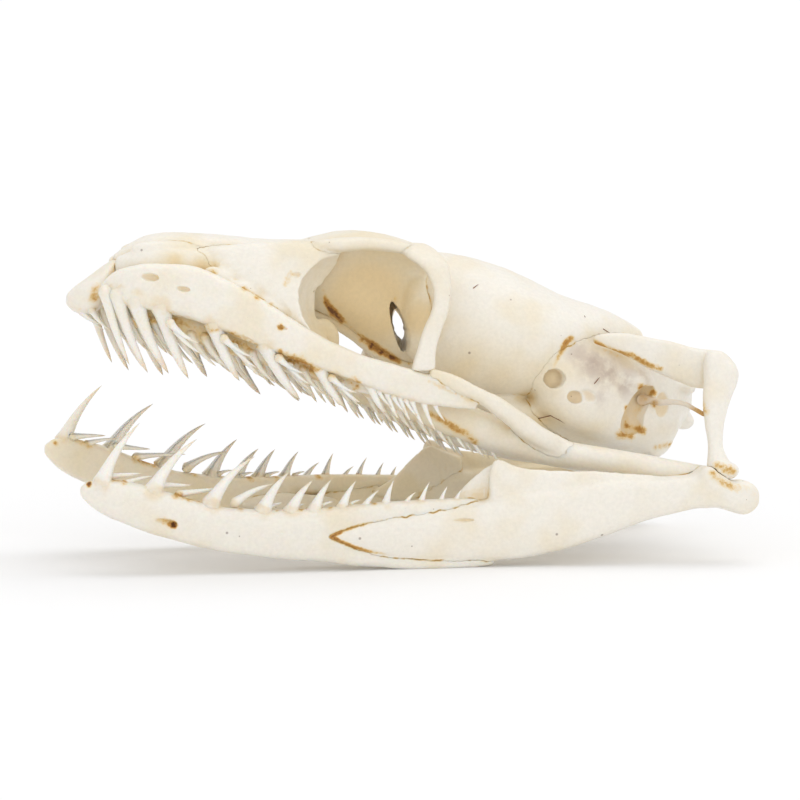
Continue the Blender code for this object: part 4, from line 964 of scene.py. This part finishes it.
# how far up its tooth each point lies, and how near it is to the rim of a socket
def toothMasks(points, paths):
    tooth = np.zeros(len(points))
    socket = np.zeros(len(points))
    gumRing = len(making["rootRings"])
    for path in paths:
        centres = np.array([centre[:] for centre, radius in path])
        radii = np.array([radius for centre, radius in path])
        reach = np.linalg.norm(centres[0] - centres[-1]) / 2 + stainsAndShade["toothMargin"]
        near = np.where(((points - centres.mean(axis=0)) ** 2).sum(axis=1) < reach ** 2)[0]
        local = points[near]
        best = np.full(len(near), np.inf)
        along = np.zeros(len(near))
        lengths = np.concatenate([[0], np.cumsum(np.linalg.norm(np.diff(centres, axis=0), axis=1))])
        for i in range(len(path) - 1):
            step = centres[i + 1] - centres[i]
            t = np.clip(((local - centres[i]) @ step) / (step @ step), 0, 1)
            gap = (np.linalg.norm(local - centres[i] - t[:, None] * step, axis=1)
                   - (radii[i] + (radii[i + 1] - radii[i]) * t))
            closer = gap < best
            best = np.where(closer, gap, best)
            along = np.where(closer, lengths[i] + (lengths[i + 1] - lengths[i]) * t, along)
        gum = lengths[gumRing]
        rise = np.clip((along - gum) / (lengths[-1] - gum), 0, 1)
        tooth[near] = np.maximum(tooth[near], np.where(best < stainsAndShade["toothSkin"], rise, 0))
        rim = np.exp(-(np.abs(along - gum) + np.maximum(best, 0)) / stainsAndShade["socketReach"])
        socket[near] = np.maximum(socket[near], rim)
    return tooth, socket


# a soft count of the bone in every part of the skull
def crowding(everything):
    step, margin = stainsAndShade["crowdStep"], stainsAndShade["crowdMargin"]
    low = everything.min(axis=0) - margin
    cells = np.zeros(np.ceil((everything.max(axis=0) + margin - low) / step).astype(int) + 1)
    index = ((everything - low) / step).astype(int)
    np.add.at(cells, tuple(index.T), 1.0)
    for _ in range(stainsAndShade["crowdBlurs"]):
        for axis in range(3):
            cells = 0.5 * cells + 0.25 * (np.roll(cells, 1, axis) + np.roll(cells, -1, axis))
    return cells, low


def boxesMeet(a, b, reach):
    return bool(np.all(a[0] - reach < b[1]) and np.all(b[0] - reach < a[1]))


trees, boxes = {}, {}
for name, thing in bones.items():
    mesh = thing.data
    points = readPoints(mesh)
    boxes[name] = (points.min(axis=0), points.max(axis=0))
    trees[name] = BVHTree.FromPolygons(points.tolist(), [tuple(face.vertices) for face in mesh.polygons])
cells, corner = crowding(np.vstack([readPoints(thing.data) for thing in bones.values()]))
print("search trees are ready")

# dried threads lie on the roof and the side of the braincase
fibres = {
    "radius": 0.09,
    "rise": 0.04,
    "colour": (0.30, 0.14, 0.05, 1.0),
    "paths": [
        ("parietal", [(12.2, -12, 52.8), (13.0, -12, 53.6), (13.8, -12, 54.3)]),
        ("braincase_rear", [(23.8, -12, 24.7), (25.8, -12, 25.0), (28.0, -12, 24.2), (29.4, -12, 23.0)]),
        ("braincase_rear", [(35.7, -14, 32.6), (36.5, -14, 33.3), (37.3, -14, 34.1)]),
        ("parietal", [(35.1, -8, 44.9), (35.2, -8, 45.7)]),
        ("parietal", [(39.2, -8, 43.1), (40.4, -8, 42.7), (41.6, -8, 41.7)])],
}
bm = bmesh.new()
for name, points in fibres["paths"]:
    path = []
    for point in points:
        place, normal = trees[name].find_nearest(skullPlace @ Vector(point))[:2]
        path.append((place + normal * fibres["rise"], fibres["radius"]))
    addTooth(bm, path)
threads = addThing("fibres", bm)


# how near the other bones come to each point of a bone, 1 where they touch
def seamMask(name, points):
    reach = stainsAndShade["seamReach"]
    nearest = np.full(len(points), reach)
    for other, tree in trees.items():
        if other == name or not boxesMeet(boxes[name], boxes[other], reach):
            continue
        low, high = boxes[other]
        inside = np.where(np.all((points > low - reach) & (points < high + reach), axis=1))[0]
        for i in inside:
            away = tree.find_nearest(points[i], nearest[i])[3]
            if away is not None:
                nearest[i] = away
    return 1.0 - nearest / reach


# yellowing and painted shade of the palate and of the faces that look inwards
def warmMask(kind, drawn, inward):
    inner_yellow_and_shade = np.zeros(len(drawn))
    if kind in ("palatine", "pterygoid", "ectopterygoid"):
        inner_yellow_and_shade = np.clip((stainsAndShade["palateEnd"] - drawn[:, 0]) / stainsAndShade["palateFade"], 0, 1)
    if kind in ("palatine", "maxilla", *jawBones):
        gain, shift = stainsAndShade["innerSlope"]
        inner_yellow_and_shade = np.maximum(inner_yellow_and_shade, np.clip(inward * gain + shift, 0, 1))
    inner_yellow_and_shade *= stainsAndShade["innerWarmth"]
    if kind not in jawBones:
        inner_yellow_and_shade = np.maximum(inner_yellow_and_shade, spotMask(drawn, stainsAndShade["warmSpots"]))
    return inner_yellow_and_shade


for name, thing in bones.items():
    mesh = thing.data
    points = readPoints(mesh)
    normals = readPoints(mesh, "vertex_normals", "vector")
    edges = np.empty(len(mesh.edges) * 2, dtype=np.int64)
    mesh.edges.foreach_get("vertices", edges)
    writeMask(mesh, "seam", seamMask(name, points))
    # crevices are marked for painted shade
    writeMask(mesh, "hollow_shade", hollowMask(points, normals, edges.reshape(-1, 2)))
    tooth, socket = toothMasks(points, teethOf[name])
    writeMask(mesh, "tooth", tooth)
    writeMask(mesh, "socket", socket)
    # crowded places are marked for painted shade and yellowing
    ahead = ((points + normals * stainsAndShade["crowdAhead"] - corner) / stainsAndShade["crowdStep"]).astype(int)
    cell = np.clip(ahead, 0, np.array(cells.shape) - 1)
    writeMask(mesh, "crowd_shade", cells[tuple(cell.T)] / stainsAndShade["crowdScale"])
    # spots and inner faces are judged in the drawing, with both sides folded to the left
    back = np.array(placeOf[name].inverted())
    drawn = points @ back[:3, :3].T + back[:3, 3]
    drawn[:, 1] = -np.abs(drawn[:, 1])
    inJaw = kindOf(name) in jawBones
    stains = stainsAndShade["jawStains" if inJaw else "skullStains"]
    writeMask(mesh, "stain", strokeMask(drawn, stains), stainsAndShade["strongest"])
    if not inJaw:
        writeMask(mesh, "grey", spotMask(drawn, stainsAndShade["greySpots"]))
    # faces that look inwards are marked for yellowing and painted shade
    inward = (normals @ back[:3, :3].T)[:, 1]
    writeMask(mesh, "inner_yellow_and_shade", warmMask(kindOf(name), drawn, inward), stainsAndShade["strongest"])
print("masks are painted")


# finishes
colours = {
    "ivory": (0.85, 0.81, 0.73, 1.0),
    # cream is yellowed bone, and is also laid as painted shade in crowded places
    "cream_and_shade": (0.80, 0.69, 0.48, 1.0),
    # painted shade of crowded places, hollows and inner faces
    "shade_beige": (0.76, 0.56, 0.27, 1.0),
    "golden": (0.74, 0.52, 0.19, 1.0),
    "amber": (0.44, 0.19, 0.025, 1.0),
    "brown": (0.12, 0.035, 0.008, 1.0),
    "grey": (0.50, 0.40, 0.33, 1.0),
    "toothWhite": (0.87, 0.85, 0.80, 1.0),
    "toothTip": (0.72, 0.54, 0.33, 1.0),
}


# a node tree with short ways to add to it
class Sketch:
    def __init__(self, tree):
        self.tree = tree

    def node(self, kind, **values):
        made = self.tree.nodes.new(kind)
        for key, value in values.items():
            setattr(made, key, value)
        return made

    def put(self, socket, value):
        if isinstance(value, bpy.types.NodeSocket):
            self.tree.links.new(value, socket)
        else:
            socket.default_value = value

    def maths(self, operation, a, b, clamp=False):
        made = self.node("ShaderNodeMath", operation=operation, use_clamp=clamp)
        self.put(made.inputs[0], a)
        self.put(made.inputs[1], b)
        return made.outputs[0]

    def times(self, a, b, clamp=False):
        return self.maths("MULTIPLY", a, b, clamp)

    def plus(self, a, b, clamp=False):
        return self.maths("ADD", a, b, clamp)

    def most(self, a, b):
        return self.maths("MAXIMUM", a, b)

    # stretch low..high to 0..1
    def window(self, value, low, high):
        made = self.node("ShaderNodeMapRange", interpolation_type="SMOOTHSTEP")
        self.put(made.inputs["Value"], value)
        self.put(made.inputs["From Min"], low)
        self.put(made.inputs["From Max"], high)
        return made.outputs[0]

    def mix(self, factor, a, b):
        made = self.node("ShaderNodeMix", data_type="RGBA")
        self.put(made.inputs[0], factor)
        self.put(made.inputs[6], a)
        self.put(made.inputs[7], b)
        return made.outputs[2]

    def mask(self, name):
        return self.node("ShaderNodeAttribute", attribute_name=name).outputs["Fac"]

    # millimetres of the skull's own space, stretched along the snout if asked
    def place(self, stretch=1.0):
        where = self.node("ShaderNodeTexCoord").outputs["Object"]
        made = self.node("ShaderNodeMapping")
        self.put(made.inputs["Vector"], where)
        self.put(made.inputs["Scale"], (1000.0 / stretch, 1000.0, 1000.0))
        return made.outputs[0]

    def noise(self, size, detail=3.0, stretch=1.0, roughness=0.55):
        made = self.node("ShaderNodeTexNoise")
        self.put(made.inputs["Vector"], self.place(stretch))
        self.put(made.inputs["Scale"], 1.0 / size)
        self.put(made.inputs["Detail"], detail)
        self.put(made.inputs["Roughness"], roughness)
        return made.outputs["Fac"]

    # a few small dots out of a grid of cells
    def specks(self, size, radius, share):
        made = self.node("ShaderNodeTexVoronoi")
        self.put(made.inputs["Vector"], self.place())
        self.put(made.inputs["Scale"], 1.0 / size)
        dot = self.window(made.outputs["Distance"], radius, radius * 0.45)
        pick = self.node("ShaderNodeSeparateColor")
        self.put(pick.inputs[0], made.outputs["Color"])
        chosen = self.maths("LESS_THAN", pick.outputs[0], share)
        return self.times(dot, chosen)


def newGroup(name, outputs):
    tree = bpy.data.node_groups.new(name, "ShaderNodeTree")
    for label, kind in outputs:
        tree.interface.new_socket(label, in_out="OUTPUT", socket_type=kind)
    sketch = Sketch(tree)
    end = sketch.node("NodeGroupOutput")
    return sketch, end


# ivory bone that yellows and takes painted shade where it is crowded, browns in its seams and greys over the
# ear
def boneGroup():
    s, end = newGroup("bone skin", [
        ("Color", "NodeSocketColor"), ("Roughness", "NodeSocketFloat"), ("Height", "NodeSocketFloat")])
    broad = s.noise(11.0, 2.0)
    patch = s.noise(3.2, 4.0)
    fine = s.noise(0.7, 4.0)
    crowd_shade = s.window(s.mask("crowd_shade"), 0.12, 0.75)
    # yellowing, with painted shade where bone crowds round and where faces look inwards
    yellow_and_shade = s.times(s.window(broad, 0.42, 0.72), 0.5)
    yellow_and_shade = s.plus(yellow_and_shade, s.mask("inner_yellow_and_shade"))
    yellow_and_shade = s.plus(yellow_and_shade, s.times(crowd_shade, 0.9), clamp=True)
    colour = s.mix(yellow_and_shade, colours["ivory"], colours["cream_and_shade"])
    # painted shade: crowded places, hollows and strongly yellowed inner faces turn beige
    painted_shade = s.times(s.window(s.plus(s.mask("crowd_shade"), s.times(patch, 0.3)), 0.45, 1.05), 0.75)
    painted_shade = s.plus(painted_shade, s.times(s.window(s.mask("hollow_shade"), 0.25, 1.0), 0.5))
    painted_shade = s.plus(painted_shade, s.times(s.window(s.mask("inner_yellow_and_shade"), 0.6, 1.1), 0.6), clamp=True)
    colour = s.mix(painted_shade, colour, colours["shade_beige"])
    grey = s.times(s.mask("grey"), s.window(patch, 0.3, 0.6))
    colour = s.mix(grey, colour, colours["grey"])
    # stains gather in seams, round sockets and in named places
    seam = s.times(s.window(s.mask("seam"), 0.72, 0.98), s.window(patch, 0.46, 0.62))
    socket = s.times(s.window(s.mask("socket"), 0.35, 0.9), s.window(patch, 0.4, 0.62))
    grit = s.plus(s.times(fine, 0.8), s.times(patch, 0.7))
    spot = s.window(s.plus(s.mask("stain"), s.maths("SUBTRACT", grit, 0.75)), 0.25, 1.0)
    amber = s.most(s.times(seam, 0.75), s.times(socket, 0.2))
    amber = s.most(amber, s.times(spot, 0.85))
    colour = s.mix(s.times(amber, 1.5, clamp=True), colour, colours["golden"])
    colour = s.mix(s.window(amber, 0.35, 1.0), colour, colours["amber"])
    line = s.times(s.window(s.mask("seam"), 0.9, 1.0), s.window(patch, 0.5, 0.7))
    dark = s.most(s.times(line, 0.5), s.window(s.times(s.mask("stain"), s.plus(fine, 0.4)), 0.85, 1.15))
    dots = s.most(s.specks(4.2, 0.085, 0.2), s.specks(2.2, 0.09, 0.06))
    colour = s.mix(s.most(s.times(dark, 0.85), s.times(dots, 0.55)), colour, colours["brown"])
    # a faint tone over everything
    tone = s.window(fine, 0.2, 0.8)
    shade = s.node("ShaderNodeHueSaturation")
    s.put(shade.inputs["Color"], colour)
    s.put(shade.inputs["Value"], s.plus(0.96, s.times(tone, 0.07)))
    s.put(end.inputs["Color"], shade.outputs[0])
    rough = s.plus(0.40, s.times(patch, 0.16))
    s.put(end.inputs["Roughness"], s.plus(rough, s.times(amber, 0.2), clamp=True))
    grain = s.noise(0.55, 3.0, stretch=5.0)
    pores = s.times(s.specks(0.9, 0.2, 0.35), -0.5)
    height = s.plus(s.times(grain, 0.5), s.times(s.noise(0.28, 2.0), 0.25))
    height = s.plus(height, s.times(patch, 1.1))
    s.put(end.inputs["Height"], s.plus(height, pores))
    return s.tree


# white teeth with beige, slightly glassy tips
def toothGroup():
    s, end = newGroup("tooth skin", [
        ("Color", "NodeSocketColor"), ("Mask", "NodeSocketFloat"), ("Roughness", "NodeSocketFloat")])
    along = s.mask("tooth")
    streak = s.noise(0.9, 3.0)
    tip = s.window(s.plus(along, s.times(s.maths("SUBTRACT", streak, 0.5), 0.35)), 0.62, 1.05)
    colour = s.mix(s.times(s.window(streak, 0.45, 0.75), 0.35), colours["toothWhite"], colours["cream_and_shade"])
    # painted shade: crowded places and inner faces turn the teeth cream
    crowd_shade = s.times(s.window(s.mask("crowd_shade"), 0.15, 0.8), 0.6)
    yellow_and_shade = s.plus(crowd_shade, s.times(s.mask("inner_yellow_and_shade"), 0.5), clamp=True)
    colour = s.mix(yellow_and_shade, colour, colours["cream_and_shade"])
    colour = s.mix(s.times(tip, 0.7), colour, colours["toothTip"])
    s.put(end.inputs["Color"], colour)
    s.put(end.inputs["Mask"], s.window(along, 0.0, 0.14))
    s.put(end.inputs["Roughness"], s.plus(0.22, s.times(streak, 0.12)))
    return s.tree


finish = {
    "subsurface": 0.15,
    "toothSubsurface": 0.5,
    "subsurfaceScale": 0.0008,
    "subsurfaceColour": (1.0, 0.72, 0.46),
    "bumpDistance": 0.00012,
    "boneBump": 0.5,
    "toothBump": 0.15,
    "toothCoat": 0.25,
    "earTint": (0.52, 0.30, 0.10, 1.0),
}
boneSkin = boneGroup()
toothSkin = toothGroup()


def makeFinish(name, toothed=False, ear=False):
    material = bpy.data.materials.new(name)
    material.use_nodes = True
    s = Sketch(material.node_tree)
    shader = material.node_tree.nodes["Principled BSDF"]
    bone = s.node("ShaderNodeGroup")
    bone.node_tree = boneSkin
    colour, rough, height = bone.outputs["Color"], bone.outputs["Roughness"], bone.outputs["Height"]
    strength = finish["boneBump"]
    if toothed:
        tooth = s.node("ShaderNodeGroup")
        tooth.node_tree = toothSkin
        mask = tooth.outputs["Mask"]
        colour = s.mix(mask, colour, tooth.outputs["Color"])
        difference = s.maths("SUBTRACT", tooth.outputs["Roughness"], rough)
        rough = s.plus(rough, s.times(difference, mask))
        shrink = s.times(mask, finish["toothBump"] - strength)
        strength = s.plus(shrink, strength)
        s.put(shader.inputs["Coat Weight"], s.times(mask, finish["toothCoat"]))
    if ear:
        colour = s.mix(s.plus(s.times(s.mask("stain"), 0.7), 0.15), colour, finish["earTint"])
    s.put(shader.inputs["Base Color"], colour)
    s.put(shader.inputs["Roughness"], rough)
    shader.inputs["Subsurface Weight"].default_value = finish["toothSubsurface" if toothed else "subsurface"]
    shader.inputs["Subsurface Scale"].default_value = finish["subsurfaceScale"]
    shader.inputs["Subsurface Radius"].default_value = finish["subsurfaceColour"]
    bump = s.node("ShaderNodeBump")
    s.put(bump.inputs["Height"], height)
    s.put(bump.inputs["Strength"], strength)
    bump.inputs["Distance"].default_value = finish["bumpDistance"]
    s.put(shader.inputs["Normal"], bump.outputs[0])
    return material


finishes = {
    "bone": makeFinish("dry bone"),
    "tooth_bone": makeFinish("toothed bone", toothed=True),
    "ear_bone": makeFinish("ear bone", ear=True),
}


def slotOf(name):
    if name.startswith("stapes"):
        return "ear_bone"
    return "tooth_bone" if teethOf[name] else "bone"


for name, thing in bones.items():
    mesh = thing.data
    mesh.transform(toFrame())
    mesh.materials.clear()
    slot = slotOf(name)
    mesh.materials.append(finishes[slot])
    mesh.shade_smooth()
    thing.name = name + "_bone"
    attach(thing, "root")
    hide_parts(name)
print("finishes are on")

thread = bpy.data.materials.new("dry thread")
thread.use_nodes = True
sketch = Sketch(thread.node_tree)
tone = sketch.mix(sketch.noise(0.8), fibres["colour"], colours["brown"])
sketch.put(thread.node_tree.nodes["Principled BSDF"].inputs["Base Color"], tone)
threads.data.transform(toFrame())
threads.data.materials.append(thread)
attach(threads, "root")
print("triangles", sum(len(face.vertices) - 2 for thing in bones.values() for face in thing.data.polygons))
